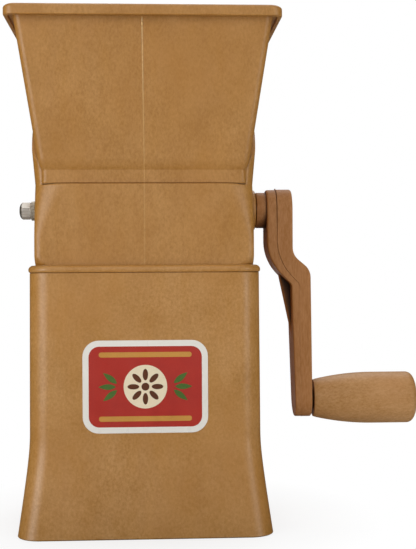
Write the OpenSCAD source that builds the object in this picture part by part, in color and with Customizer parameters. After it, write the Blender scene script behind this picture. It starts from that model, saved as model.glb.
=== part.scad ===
// Hand-cranked nut chopper: a hopper housing that stands in a collecting container.
// Lengths are millimetres. The origin is the middle of the foot, on the table.
// The front is -Y, the crank is at +X and +Z is up.

/* [Container] */
// Outside width of the straight walls
container_width = 100.6; // [92:0.2:110]
// Outside depth of the straight walls
container_depth = 82; // [78:0.5:92]
// How far each side wall leans out, from the rim down to the table
container_draft = 0.5; // [0:0.1:1]
// Height of the rim above the table
container_height = 117.5; // [108:0.5:130]
// Thickness of the walls
container_wall = 2.2; // [1.6:0.1:3]
// Radius of the upright corners
container_corner = 10; // [8.5:0.5:13]
// Height of the rounded bead round the rim
bead_height = 3; // [2:0.2:4.4]
// How far the bead stands out from the wall
bead_reach = 0.6; // [0.3:0.1:1.2]
// Height at which the flared foot begins
foot_height = 44; // [34:1:50]
// How far the foot spreads on each side
foot_spread = 4.8; // [2:0.2:7]
// Height of the floor's upper face
floor_level = 42.4; // [30:0.2:50]
// Thickness of the floor
floor_thickness = 2.4; // [1.6:0.1:4]
// How far the stop ribs stand in from the walls
rib_reach = 3; // [2.2:0.1:4]
// Thickness of the stop ribs
rib_thickness = 2.4; // [1.6:0.1:4]
// Distance between the two ribs on the front wall and on the rear wall
rib_spacing = 60; // [40:1:70]

/* [Label] */
// Width of the label
label_width = 54; // [40:1:70]
// Height of the label
label_height = 40; // [30:1:42]
// Thickness of the label
label_thickness = 0.25; // [0.15:0.05:0.5]
// Radius of the label's corners
label_corner = 7; // [3:0.5:10]
// Height of the label's middle above the table
label_level = 65; // [60:0.5:80]

/* [Housing] */
// Gap between the waist and the container's walls
seat_clearance = 0.3; // [0.2:0.05:0.5]
// Thickness of the housing's walls
housing_wall = 2.6; // [2:0.1:3.2]
// How far the waist reaches down into the container
insert_depth = 20; // [12:0.5:28]
// Height of the ledge above the container's rim
waist_rise = 35.5; // [33:0.5:42]
// Height of the neck band above the ledge
neck_rise = 7; // [5:0.5:10]
// How far the neck stands in at each side
neck_inset = 3.2; // [3:0.1:5]
// How far the neck stands back at the front and at the rear
neck_setback = 1.6; // [1.2:0.1:3]
// Corner radius of the neck
neck_corner = 3.8; // [3.8:0.2:6]
// Height of the hopper from the neck to its rim
hopper_rise = 63.4; // [50:0.2:80]
// Outside width of the hopper under its rim
hopper_width = 111.2; // [104:0.2:122]
// Outside depth of the hopper under its rim
hopper_depth = 93; // [86:0.5:104]
// Corner radius of the hopper under its rim
hopper_corner = 5.5; // [4.5:0.5:10]
// Height of the rim
rim_rise = 4.8; // [4:0.2:7]
// How far the rim stands out from the hopper
rim_reach = 3.9; // [3:0.1:5]
// Thickness of the rim's lip
rim_lip = 1.8; // [1.2:0.1:2.2]
// Rounding of the rim's upper edge
rim_round = 1.6; // [0.6:0.1:1.8]
// How far the top of each bearing cheek leans out
cheek_lean = 2.7; // [2:0.1:4]
// Height of the middle of the cheeks' round above the shaft
cheek_raise = 1.9; // [0:0.1:3]

/* [Bearings] */
// Height of the shaft above the container's rim
shaft_rise = 25.7; // [24:0.1:28]
// Running clearance of the turning pieces, on the radius
running_clearance = 0.05; // [0.02:0.01:0.1]
// Slip clearance of fixed pieces, on each side
slip_clearance = 0.04; // [0.02:0.01:0.1]
// End play between turning faces
end_play = 0.2; // [0.1:0.05:0.4]
// Wall of the bushes
bush_wall = 1.5; // [1:0.1:2]
// How far the bush flanges stand out
flange_reach = 2; // [1:0.1:3]
// Thickness of the bush flanges
flange_thickness = 1.6; // [1:0.1:2]
// Wall of the bearing bosses round the bushes
boss_wall = 1.8; // [1.2:0.1:2.4]
// How far the boss on the crank's side stands out
drive_boss_reach = 3.7; // [3.5:0.1:6]
// How far the boss on the nut's side stands out
idle_boss_reach = 2.8; // [1.5:0.1:4]

/* [Rotor] */
// Side of the shaft's square middle
square_side = 8; // [7.6:0.1:8.4]
// Diameter of the journal on the crank's side
drive_journal = 12; // [12:0.1:13]
// Diameter of the journal on the nut's side
idle_journal = 7.4; // [6:0.1:7.6]
// Diameter of the threaded stud
stud_diameter = 4; // [3:0.5:5]
// Number of cutter discs
disc_count = 10; // [6:1:13]
// Diameter of the cutter discs over their teeth
disc_diameter = 54; // [44:0.5:55]
// Thickness of the cutter discs
disc_thickness = 1.2; // [0.8:0.1:1.6]
// Number of teeth on a disc
tooth_count = 14; // [10:2:22]
// Depth of the teeth
tooth_depth = 4; // [2:0.2:6]
// Diameter of the spacers
spacer_diameter = 16; // [14:0.5:20]
// Thickness of the washer under the nut
washer_thickness = 1.9; // [0.8:0.1:2.2]
// Diameter of the washer under the nut
washer_diameter = 9; // [8.6:0.1:12]
// Width of the cap nut across its flats
nut_flats = 7; // [6.6:0.1:8.6]
// Length of the cap nut's hexagon
nut_length = 4.6; // [3.2:0.1:6]
// Height of the cap nut's dome
nut_dome = 1.4; // [1.2:0.1:3]

/* [Combs] */
// Thickness of the comb plates
comb_thickness = 2; // [1.2:0.1:3]
// Width of the fingers
finger_width = 3.6; // [2.4:0.1:4]
// Height of the shaft above the combs' upper face
comb_drop = 11; // [11:0.2:14]
// Distance of the finger tips from the middle plane
finger_gap = 11; // [6:0.5:16]
// Gap between the discs and the comb's bar
bar_gap = 1.5; // [0.8:0.1:2.5]
// Gap between the comb and the housing
comb_clearance = 0.3; // [0.2:0.05:0.5]
// Diameter of the comb screws
screw_diameter = 3; // [2.5:0.1:3.2]
// Diameter of the screws' heads
screw_head = 5.6; // [5:0.1:6]
// Height of the screws' heads
screw_head_height = 2; // [1.4:0.1:2.6]
// Grip of a screw in its boss
screw_grip = 9; // [6:0.5:10]
// Distance between the two screws of a comb
screw_spacing = 62; // [50:1:70]
// Diameter of the screw bosses
screw_boss = 6.4; // [5.6:0.1:6.6]

/* [Crank] */
// Distance from the shaft to the knob's axis
crank_throw = 88.5; // [75:0.5:95]
// Gap between the crank's collar and the boss
collar_gap = 0.4; // [0.2:0.1:0.8]
// Diameter of the collar
collar_diameter = 16.6; // [15:0.1:18]
// Length of the collar
collar_length = 4.6; // [1.8:0.1:6]
// Thickness of the hub
hub_thickness = 12; // [10.5:0.1:14]
// Radius of the hub's round end
hub_radius = 9.8; // [8.6:0.1:11]
// Thickness of the arm below the bend
arm_thickness = 9.5; // [8.5:0.1:10.5]
// Thickness of the arm at the knob
arm_end_thickness = 7.7; // [7.5:0.1:8.5]
// Radius of the arm's round end
arm_end_radius = 8.5; // [7.2:0.1:9.5]
// How far the bend carries the arm outward
bend_offset = 8.9; // [8:0.1:11]
// Distance below the shaft at which the outer face starts to bend
bend_start = 16.4; // [14:0.2:22]
// Distance below the shaft at which the inner face starts to bend
inner_bend_start = 14.4; // [11:0.2:16]
// Radius of the outer face's two bends
bend_radius = 7.5; // [5:0.1:8]
// Radius of the inner face's long bend
inner_bend_radius = 22; // [18:0.5:28]
// Radius of the inner face's short bend
inner_fillet = 2.5; // [1:0.1:3]
// Distance below the shaft at which the rib ends inside the arm
rib_end = 64; // [50:0.2:70]
// Thickness of the rib behind the bend
crank_rib = 4; // [2:0.2:6]
// Depth of the square socket for the shaft
socket_depth = 11; // [8:0.5:12]

/* [Knob] */
// Length of the knob
knob_length = 48.9; // [40:0.1:56]
// Diameter of the knob's barrel
knob_diameter = 24; // [20:0.1:27]
// Diameter of the knob beside the arm
knob_neck = 17.4; // [15:0.1:19]
// Length over which the knob swells
knob_swell = 28; // [20:0.5:34]
// Height of the knob's domed end
knob_dome = 4.2; // [2:0.1:6]
// Diameter of the pin that the knob turns on
pin_diameter = 6; // [5:0.1:7]
// Diameter of the pin's head
pin_head = 9.4; // [8.4:0.1:11]
// Height of the pin's head
pin_head_height = 3; // [2:0.1:4]
// Diameter of the pin's threaded end
pin_thread = 5; // [4:0.1:5.6]
// Depth of the pin's thread in the arm
pin_grip = 6.5; // [5:0.1:7]
// Height of the raised pad round the pin on the arm
pad_height = 0.4; // [0.4:0.1:1.6]
// Diameter of the pad and of the knob washer
pad_diameter = 10; // [10:0.5:14]
// Thickness of the knob washer
knob_washer = 0.5; // [0.5:0.1:1.2]

/* [Hidden] */
$fn = 64;
// How far a cut runs past the face that it opens
cut_over = 1;
// Steps round each corner of a shell
corner_steps = 6;
// Sharpness of the curve from the container's wall into its foot
foot_softness = 0.27;
// Steps up the foot
foot_steps = 6;
// Fillets and broken edges of the mouldings
floor_fillet = 1.5;
broken_edge = 0.6;
ledge_round = 1;
groove_depth = rim_rise / 2;

plastic = "#a97b47";
dark_plastic = "#8c6039";
pale_plastic = "#ad8250";
steel = "#b9bcc0";
bearing_nylon = "#d9d4c4";
label_red = "#b5352b";

// Container
container_hx = container_width / 2;
container_hy = container_depth / 2;
cavity_hx = container_hx - container_wall;
cavity_hy = container_hy - container_wall;
cavity_corner = container_corner - container_wall;
stop_level = container_height - insert_depth;

// Housing
waist_hx = cavity_hx - seat_clearance;
waist_hy = cavity_hy - seat_clearance;
waist_corner = cavity_corner - seat_clearance;
chamber_hx = waist_hx - housing_wall;
chamber_hy = waist_hy - housing_wall;
chamber_corner = waist_corner - housing_wall;
ledge_level = container_height + waist_rise;
neck_top = ledge_level + neck_rise;
neck_hx = waist_hx - neck_inset;
neck_hy = waist_hy - neck_setback;
hopper_hx = hopper_width / 2;
hopper_hy = hopper_depth / 2;
rim_under = neck_top + hopper_rise;
rim_top = rim_under + rim_rise;
hopper_slope_x = (hopper_hx - neck_hx) / hopper_rise;
hopper_slope_y = (hopper_hy - neck_hy) / hopper_rise;

// Bearings: the chamber is round about the shaft, and the cheeks about a line just above it
shaft_level = container_height + shaft_rise;
cheek_radius = waist_hy - broken_edge;
cheek_level = shaft_level + cheek_raise;
cheek_top = cheek_level + cheek_radius;
barrel_radius = cheek_radius - housing_wall;
drive_bush_od = drive_journal + 2 * running_clearance + 2 * bush_wall;
idle_bush_od = idle_journal + 2 * running_clearance + 2 * bush_wall;
drive_boss_end = waist_hx + drive_boss_reach;
idle_boss_end = waist_hx + idle_boss_reach;
flange_face = chamber_hx - flange_thickness;

// Rotor stack between the bush flanges
stack_hx = flange_face - end_play;
spacer_length = (2 * stack_hx - disc_count * disc_thickness) / (disc_count + 1);
disc_pitch = spacer_length + disc_thickness;
disc_radius = disc_diameter / 2;
// Where a tooth's face, land and back end, as parts of the tooth's pitch
tooth_face = 0.12;
tooth_land = 0.28;
tooth_back = 0.8;
bore_side = square_side + 2 * slip_clearance;
washer_face = idle_boss_end + end_play;
nut_face = washer_face + washer_thickness;
stud_end = nut_face + nut_length;

// Combs
comb_top = shaft_level - comb_drop;
bar_inner = disc_radius + bar_gap;
bar_outer = chamber_hy - comb_clearance;
screw_y = chamber_hy - screw_head / 2 - comb_clearance;
recess_width = 0.9;
recess_span = 3.4;

// Crank
collar_face = drive_boss_end + collar_gap;
hub_in = collar_face + collar_length;
hub_out = hub_in + hub_thickness;
arm_out = hub_out + bend_offset;
arm_in = arm_out - arm_thickness;
arm_end_in = arm_out - arm_end_thickness;
knob_level = shaft_level - crank_throw;
outer_bend_angle = 50;
inner_bend_angle = 45;
// Where on the inner face's long bend the rib starts
rib_angle = 42;
// Largest part of the inner face's offset that its bends may take
bend_share = 0.9;
inner_offset = arm_in - hub_in;
// The long bend is limited by the room between the hub and the arm
bend_limit = bend_share * inner_offset / (1 - cos(inner_bend_angle)) - inner_fillet;
long_radius = min(inner_bend_radius, bend_limit);

// Knob
washer_in = arm_out + pad_height;
knob_start = washer_in + knob_washer + end_play;
knob_end = knob_start + knob_length;
head_play = 2 * end_play;
recess_depth = pin_head_height + head_play + broken_edge;
slot_width = 1.4;
recess_floor = knob_end - recess_depth;

// Spread of the foot beyond the wall at a height above the table
function foot_reach(z) =
    let (t = max(0, 1 - z / foot_height), s = foot_softness)
    foot_spread * (sqrt(t * t + s * s) - s) / (sqrt(1 + s * s) - s);

// Lean of the side walls at a height above the table
function side_draft(z) = container_draft * (1 - z / container_height);

// Points of a rounded rectangle at one height, anticlockwise from above
function ring(hx, hy, r, z) = [
    for (quarter = [0:3], k = [0:corner_steps])
        let (
            a = 90 * (quarter + k / corner_steps),
            cx = (quarter == 0 || quarter == 3 ? 1 : -1) * (hx - r),
            cy = (quarter < 2 ? 1 : -1) * (hy - r)
        )
        [cx + r * cos(a), cy + r * sin(a), z]
];

// A shell section grown by a margin on every side
function grown(section, margin, z) =
    [section[0] + margin, section[1] + margin, section[2] + margin, z];

// A shell section widened by a margin on every side, with the same corner radius
function widened(section, margin, z) = [section[0] + margin, section[1] + margin, section[2], z];

// Points along an arc in a plane, about a centre
function arc(cx, cy, r, from, to, steps = 8) = [
    for (k = [0:steps]) let (a = from + (to - from) * k / steps) [cx + r * cos(a), cy + r * sin(a)]
];

// Closed solid through a list of sections [half width, half depth, corner radius, height]
module loft(sections) {
    count = 4 * (corner_steps + 1);
    last = len(sections) - 1;
    sides = [
        for (i = [0:last - 1], j = [0:count - 1])
            let (
                next = (j + 1) % count,
                a = i * count + j,
                b = (i + 1) * count + j,
                c = (i + 1) * count + next,
                d = i * count + next
            )
            each [[a, b, c], [a, c, d]]
    ];
    bottom = [for (j = [0:count - 1]) j];
    top = [for (j = [count - 1:-1:0]) last * count + j];
    polyhedron(
        points = [for (s = sections) each ring(s[0], s[1], s[2], s[3])],
        faces = concat([bottom], sides, [top]),
        convexity = 8
    );
}

// Cylinder along X from one place to another
module rod(from, to, diameter) {
    translate([from, 0, 0]) rotate([0, 90, 0]) cylinder(d = diameter, h = to - from);
}

// Square bar along X from one place to another
module square_rod(from, to, side) {
    translate([from, -side / 2, -side / 2]) cube([to - from, side, side]);
}

// Turned solid about X, from a profile of [distance along X, radius]
module turned(profile) {
    rotate([0, 90, 0]) rotate_extrude() polygon([for (p = profile) [p[1], p[0]]]);
}

// Flat plate in the YZ plane, from one place along X, with its outline in Y and Z
module side_plate(from, thickness) {
    translate([from, 0, 0]) rotate([90, 0, 90]) linear_extrude(thickness) children();
}

module at_shaft() {
    translate([0, 0, shaft_level]) children();
}

module at_knob() {
    translate([0, 0, knob_level]) children();
}

// Places of the comb screws on one side, 1 at the rear and -1 at the front
module at_comb_screws(side) {
    for (x = [-1, 1]) {
        translate([x * screw_spacing / 2, side * screw_y, comb_top]) children();
    }
}

// Outside of the container's walls at a height, without the bead and the foot
function wall_section(z) = [container_hx + side_draft(z), container_hy, container_corner];

module collecting_container() {
    cavity_section = [cavity_hx, cavity_hy, cavity_corner];
    floor_under = floor_level - floor_thickness;
    foot = [
        for (k = [0:foot_steps])
            let (z = foot_height * k / foot_steps)
            widened(wall_section(z), foot_reach(z), z)
    ];
    bead_middle = container_height - bead_height / 2;
    bead = [
        for (a = [-90:30:90])
            let (z = bead_middle + bead_height / 2 * sin(a))
            grown(wall_section(z), bead_reach * cos(a), z)
    ];
    skirt_span = floor_under + cut_over;
    skirt = [
        for (k = [0:foot_steps])
            let (z = skirt_span * k / foot_steps - cut_over)
            widened(grown(wall_section(z), -container_wall, z), foot_reach(z), z)
    ];
    weld = container_wall / 2;
    color(plastic) {
        difference() {
            loft(concat(foot, bead));
            loft([
                grown(cavity_section, -floor_fillet, floor_level),
                grown(cavity_section, 0, floor_level + floor_fillet),
                grown(cavity_section, 0, container_height + cut_over)
            ]);
            loft(skirt);
        }
        // Stop ribs that the waist stands on
        rib_foot = floor_level - floor_thickness / 2;
        for (x = [-1, 1], side = [-1, 1]) {
            translate([x * rib_spacing / 2, side * (cavity_hy + (weld - rib_reach) / 2), rib_foot])
                stop_rib(rib_thickness, rib_reach + weld, rib_foot);
        }
        for (side = [-1, 1]) {
            translate([side * (cavity_hx + (weld - rib_reach) / 2), 0, rib_foot])
                stop_rib(rib_reach + weld, rib_thickness, rib_foot);
        }
    }
}

module stop_rib(width, depth, foot) {
    translate([-width / 2, -depth / 2, 0]) cube([width, depth, stop_level - foot]);
}

module rounded_square(width, height, r) {
    square([width - 2 * r, height], center = true);
    square([width, height - 2 * r], center = true);
    for (x = [-1, 1], y = [-1, 1]) {
        translate([x * (width / 2 - r), y * (height / 2 - r)]) circle(r);
    }
}

module front_label() {
    color(label_red)
        translate([0, -container_hy, label_level])
        rotate([90, 0, 0])
        linear_extrude(label_thickness)
        rounded_square(label_width, label_height, label_corner);
}

module housing_outside() {
    waist_section = [waist_hx, waist_hy, waist_corner];
    hopper_section = [hopper_hx, hopper_hy, hopper_corner];
    ledge = [
        for (a = [0:30:90])
            grown(waist_section, ledge_round * (cos(a) - 1), ledge_level - ledge_round * (1 - sin(a)))
    ];
    rim_edge = [
        for (a = [0:30:90])
            widened(hopper_section, rim_reach - rim_round * (1 - cos(a)), rim_top - rim_round * (1 - sin(a)))
    ];
    groove_roof = rim_under + groove_depth;
    loft(concat(
        [
            grown(waist_section, -broken_edge, stop_level),
            grown(waist_section, 0, stop_level + broken_edge)
        ],
        ledge,
        [
            [neck_hx, neck_hy, neck_corner, ledge_level],
            [neck_hx, neck_hy, neck_corner, neck_top],
            widened(hopper_section, 0, rim_under),
            [
                hopper_hx + hopper_slope_x * groove_depth,
                hopper_hy + hopper_slope_y * groove_depth,
                hopper_corner,
                groove_roof
            ],
            widened(hopper_section, rim_reach - rim_lip, groove_roof),
            widened(hopper_section, rim_reach - rim_lip, rim_under),
            widened(hopper_section, rim_reach, rim_under)
        ],
        rim_edge
    ));
    // Bearing cheeks
    lean = cheek_lean / (cheek_top - ledge_level);
    cheek_end = cheek_top + cut_over;
    intersection() {
        loft([
            for (z = [shaft_level, cheek_end])
                [waist_hx + lean * (z - ledge_level), waist_hy - broken_edge / 2, waist_corner, z]
        ]);
        translate([0, 0, cheek_level]) rod(-2 * waist_hx, 2 * waist_hx, 2 * cheek_radius);
    }
    at_shaft() {
        bearing_boss(drive_boss_end, drive_bush_od);
        mirror([1, 0, 0]) bearing_boss(idle_boss_end, idle_bush_od);
    }
}

// Boss on a cheek, with a broken outer edge
module bearing_boss(end, bush_od) {
    radius = bush_od / 2 + slip_clearance + boss_wall;
    turned([
        [chamber_hx + housing_wall / 2, 0],
        [chamber_hx + housing_wall / 2, radius],
        [end - broken_edge, radius],
        [end, radius - broken_edge],
        [end, 0]
    ]);
}

module housing_inside() {
    shoulder = ledge_level - housing_wall;
    mouth = rim_rise + cut_over;
    loft([
        [chamber_hx, chamber_hy, chamber_corner, stop_level - cut_over],
        [chamber_hx, chamber_hy, chamber_corner, shoulder],
        [neck_hx - housing_wall, neck_hy - housing_wall, neck_corner - housing_wall, shoulder],
        [neck_hx - housing_wall, neck_hy - housing_wall, neck_corner - housing_wall, neck_top],
        [
            hopper_hx + hopper_slope_x * mouth - housing_wall,
            hopper_hy + hopper_slope_y * mouth - housing_wall,
            hopper_corner - housing_wall,
            rim_under + mouth
        ]
    ]);
    at_shaft() {
        rod(-chamber_hx, chamber_hx, 2 * barrel_radius);
        rod(0, drive_boss_end + cut_over, drive_bush_od + 2 * slip_clearance);
        rod(-idle_boss_end - cut_over, 0, idle_bush_od + 2 * slip_clearance);
    }
}

module hopper_housing() {
    color(plastic) difference() {
        union() {
            difference() {
                housing_outside();
                housing_inside();
            }
            for (side = [-1, 1]) {
                at_comb_screws(side) screw_post(side);
            }
        }
        for (side = [-1, 1]) {
            at_comb_screws(side)
                translate([0, 0, -cut_over])
                cylinder(d = screw_diameter + 2 * slip_clearance, h = screw_grip + 2 * cut_over);
        }
    }
}

// Post that a comb screw is driven into, with a web to the wall
module screw_post(side) {
    height = screw_grip + 2 * cut_over;
    web = chamber_hy + housing_wall / 2 - screw_y;
    cylinder(d = screw_boss, h = height);
    translate([-screw_boss / 4, side > 0 ? 0 : -web, 0]) cube([screw_boss / 2, web, height]);
}

module bush(end, bush_od, journal) {
    difference() {
        union() {
            rod(flange_face, chamber_hx, bush_od + 2 * flange_reach);
            rod(flange_face, end, bush_od);
        }
        rod(flange_face - cut_over, end + cut_over, journal + 2 * running_clearance);
    }
}

module drive_bush() {
    color(bearing_nylon) at_shaft() bush(drive_boss_end, drive_bush_od, drive_journal);
}

module idle_bush() {
    color(bearing_nylon) at_shaft() mirror([1, 0, 0]) bush(idle_boss_end, idle_bush_od, idle_journal);
}

// Comb with its fingers between the discs, 1 for the rear and -1 for the front
module comb(side) {
    reach = bar_inner - finger_gap - finger_width / 2;
    bar_end = chamber_hx - comb_clearance;
    color(steel) translate([0, 0, comb_top - comb_thickness]) linear_extrude(comb_thickness) difference() {
        mirror([0, side > 0 ? 0 : 1]) {
            // The bar follows the chamber's round corners
            intersection() {
                translate([-chamber_hx, bar_inner]) square([2 * chamber_hx, chamber_hy]);
                rounded_square(2 * bar_end, 2 * bar_outer, chamber_corner - comb_clearance);
            }
            for (i = [0:disc_count]) {
                translate([spacer_place(i) + (spacer_length - finger_width) / 2, bar_inner - reach])
                    square([finger_width, reach + broken_edge]);
                translate([spacer_place(i) + spacer_length / 2, bar_inner - reach]) circle(d = finger_width);
            }
        }
        for (x = [-1, 1]) {
            translate([x * screw_spacing / 2, side * screw_y])
                circle(d = screw_diameter + 2 * comb_clearance);
        }
    }
}

module front_comb() {
    comb(-1);
}

module rear_comb() {
    comb(1);
}

// Pan-head screw driven upward, with its head's upper face at the comb's lower face
module comb_screw() {
    difference() {
        union() {
            translate([0, 0, -comb_thickness]) cylinder(d = screw_diameter, h = comb_thickness + screw_grip);
            translate([0, 0, -comb_thickness - screw_head_height])
                cylinder(d = screw_head, h = screw_head_height);
        }
        for (turn = [0, 90]) {
            rotate([0, 0, turn])
                translate([0, 0, -comb_thickness - screw_head_height])
                cube([recess_span, recess_width, screw_head_height], center = true);
        }
    }
}

module comb_screws() {
    color(steel) for (side = [-1, 1]) {
        at_comb_screws(side) comb_screw();
    }
}

module drive_shaft() {
    color(steel) at_shaft() {
        square_rod(-stack_hx, collar_face + socket_depth, square_side);
        rod(stack_hx, collar_face, drive_journal);
        rod(-washer_face, -stack_hx, idle_journal);
        rod(-stud_end, -washer_face, stud_diameter);
    }
}

// Left face of a spacer, counted from 0 at the nut's side
function spacer_place(i) = -stack_hx + i * disc_pitch;

// Outline of a toothed disc: each tooth has a raked face, a short land and a sloping back
function disc_outline() = let (pitch = 360 / tooth_count, root = disc_radius - tooth_depth) [
    for (k = [0:tooth_count - 1])
        each [
            for (p = [[0, root], [tooth_face, disc_radius], [tooth_land, disc_radius], [tooth_back, root]])
                p[1] * [cos((k + p[0]) * pitch), sin((k + p[0]) * pitch)]
        ]
];

// Cutter disc, counted from 1; every second one is turned a quarter so the teeth are staggered
module cutter_disc(i) {
    color(steel) at_shaft() side_plate(spacer_place(i) - disc_thickness, disc_thickness) difference() {
        rotate((i % 2) * 90) polygon(disc_outline());
        square(bore_side, center = true);
    }
}

module spacer(i) {
    place = spacer_place(i - 1);
    color(bearing_nylon) at_shaft() difference() {
        rod(place, place + spacer_length, spacer_diameter);
        square_rod(place - cut_over, place + spacer_length + cut_over, bore_side);
    }
}

module nut_washer() {
    color(steel) at_shaft() difference() {
        rod(-nut_face, -washer_face, washer_diameter);
        rod(-nut_face - cut_over, -washer_face + cut_over, stud_diameter + 2 * slip_clearance);
    }
}

module cap_nut() {
    corner_radius = nut_flats / sqrt(3);
    dome_foot = nut_flats / 2;
    dome_radius = (dome_foot * dome_foot + nut_dome * nut_dome) / (2 * nut_dome);
    half_angle = asin(dome_foot / dome_radius);
    end = nut_face + nut_length;
    dome = [
        for (p = arc(dome_radius - nut_dome, 0, dome_radius, 180 - half_angle, 180))
            [p[0] - end, p[1]]
    ];
    color(steel) at_shaft() difference() {
        union() {
            intersection() {
                translate([-end, 0, 0])
                    rotate([0, 90, 0])
                    cylinder(r = corner_radius, h = nut_length, $fn = 6);
                // Chamfers that break the hexagon's corners
                turned([
                    [-end, 0],
                    [-end, dome_foot],
                    [broken_edge - end, corner_radius],
                    [-nut_face, corner_radius],
                    [-nut_face, 0]
                ]);
            }
            turned(concat(dome, [[-end + broken_edge, 0], [-end + broken_edge, dome_foot]]));
        }
        rod(-stud_end - slip_clearance, -nut_face + cut_over, stud_diameter + 2 * slip_clearance);
    }
}

// Side view of the arm, in distance along X and distance below the shaft
function arm_profile() =
    let (
        over = cut_over + hub_radius,
        low = crank_throw + arm_end_radius + cut_over,
        bend = outer_bend_angle,
        turn = inner_bend_angle,
        long_start = hub_in + long_radius,
        slant_foot = inner_offset - (long_radius + inner_fillet) * (1 - cos(turn)),
        fillet_level = inner_bend_start + (long_radius + inner_fillet) * sin(turn) + slant_foot / tan(turn),
        outer_slant = (bend_offset - 2 * bend_radius * (1 - cos(bend))) / tan(bend),
        outer_level = bend_start + 2 * bend_radius * sin(bend) + outer_slant
    )
    concat(
        [[hub_in, -over]],
        arc(long_start, inner_bend_start, long_radius, 180, 180 - turn),
        arc(arm_in - inner_fillet, fillet_level, inner_fillet, -turn, 0, 4),
        [[arm_end_in, low], [arm_out, low]],
        arc(arm_out - bend_radius, outer_level, bend_radius, 0, -bend),
        arc(hub_out + bend_radius, bend_start, bend_radius, 180 - bend, 180),
        [[hub_out, -over]]
    );

// Outline of the arm seen along the shaft: two round ends and their common tangents
module arm_outline() {
    steps = 24;
    turn = asin((hub_radius - arm_end_radius) / crank_throw);
    polygon(concat(
        arc(0, 0, hub_radius, -turn, 180 + turn, steps),
        arc(0, -crank_throw, arm_end_radius, 180 + turn, 360 - turn, steps)
    ));
}

// Extrudes a profile of X and distance below the shaft across the middle plane
module across(width) {
    translate([0, -width / 2, 0]) rotate([-90, 0, 0]) linear_extrude(width) children();
}

module crank_arm() {
    rib_start = inner_bend_start + long_radius * sin(rib_angle) - broken_edge;
    rib_in = hub_in + long_radius * (1 - cos(rib_angle));
    rib_root = arm_end_in + broken_edge;
    color(dark_plastic) at_shaft() difference() {
        union() {
            intersection() {
                across(3 * hub_radius) polygon(arm_profile());
                side_plate(hub_in - cut_over, arm_out - hub_in + 2 * cut_over) arm_outline();
            }
            // Rib that fills the hollow behind the bend
            across(crank_rib) polygon([
                [rib_in, rib_start],
                [rib_root, rib_start],
                [rib_root, rib_end],
                [arm_end_in, rib_end]
            ]);
            rod(collar_face, hub_in + broken_edge, collar_diameter);
            translate([0, 0, -crank_throw]) rod(arm_out - broken_edge, washer_in, pad_diameter);
        }
        square_rod(collar_face - cut_over, collar_face + socket_depth + end_play, bore_side);
        translate([0, 0, -crank_throw])
            rod(arm_out - pin_grip - end_play, washer_in + cut_over, pin_thread + 2 * slip_clearance);
    }
}

module knob_washer() {
    color(steel) at_knob() difference() {
        rod(washer_in, washer_in + knob_washer, pad_diameter);
        rod(washer_in - cut_over, washer_in + knob_washer + cut_over, pin_thread + 2 * slip_clearance);
    }
}

module knob_pin() {
    head_face = recess_floor + end_play;
    shoulder = washer_in + knob_washer;
    color(steel) at_knob() difference() {
        union() {
            rod(arm_out - pin_grip, shoulder, pin_thread);
            rod(shoulder, head_face, pin_diameter);
            rod(head_face, head_face + pin_head_height, pin_head);
        }
        translate([head_face + pin_head_height, 0, 0])
            cube([pin_head_height, pin_head + cut_over, slot_width], center = true);
    }
}

// Swell of the knob from its neck to its barrel
function knob_radius(s) =
    let (left = 1 - min(1, s / knob_swell))
    knob_diameter / 2 - (knob_diameter - knob_neck) / 2 * left * left;

module knob() {
    steps = 8;
    barrel = knob_diameter / 2;
    bore = pin_diameter / 2 + running_clearance;
    recess = pin_head / 2 + head_play;
    swell = [
        for (k = [0:steps])
            let (s = knob_swell * k / steps)
            [knob_start + s, knob_radius(s)]
    ];
    dome = [
        for (p = arc(0, 0, 1, 90, 0))
            [knob_end - knob_dome * (1 - p[0]), recess + (barrel - recess) * p[1]]
    ];
    color(pale_plastic) at_knob() turned(concat(
        [[knob_start, bore]],
        swell,
        dome,
        [[recess_floor, recess], [recess_floor, bore]]
    ));
}

collecting_container();
front_label();
hopper_housing();
drive_bush();
idle_bush();
front_comb();
rear_comb();
comb_screws();
drive_shaft();
for (i = [1:disc_count]) {
    cutter_disc(i);
}
for (i = [1:disc_count + 1]) {
    spacer(i);
}
nut_washer();
cap_nut();
crank_arm();
knob_washer();
knob_pin();
knob();
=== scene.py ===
# Looks of a hand-cranked nut chopper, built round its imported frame.
# Shapes are in millimetres until a mesh is made. Colours are sRGB values from 0 to 255.
import math

import bmesh
import bpy
from mathutils import Matrix, Vector


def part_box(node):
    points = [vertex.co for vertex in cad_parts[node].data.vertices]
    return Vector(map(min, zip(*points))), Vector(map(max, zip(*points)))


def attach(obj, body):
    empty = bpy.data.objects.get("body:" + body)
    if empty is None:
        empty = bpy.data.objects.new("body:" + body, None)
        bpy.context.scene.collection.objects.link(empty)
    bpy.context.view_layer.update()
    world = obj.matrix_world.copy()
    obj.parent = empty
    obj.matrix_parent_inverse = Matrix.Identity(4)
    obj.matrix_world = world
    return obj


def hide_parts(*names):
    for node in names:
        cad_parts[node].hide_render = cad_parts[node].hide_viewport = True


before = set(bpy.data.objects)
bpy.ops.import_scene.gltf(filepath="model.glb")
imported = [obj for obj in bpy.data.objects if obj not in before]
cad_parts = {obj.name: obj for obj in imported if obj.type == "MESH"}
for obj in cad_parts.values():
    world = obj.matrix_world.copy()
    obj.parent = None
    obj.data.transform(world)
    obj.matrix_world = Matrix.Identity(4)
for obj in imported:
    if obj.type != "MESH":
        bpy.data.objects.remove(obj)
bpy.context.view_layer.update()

MM = 0.001


def node_box(node):
    """Lowest and highest corner of a node of the frame, in millimetres."""
    low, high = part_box(node)
    return low / MM, high / MM


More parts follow.
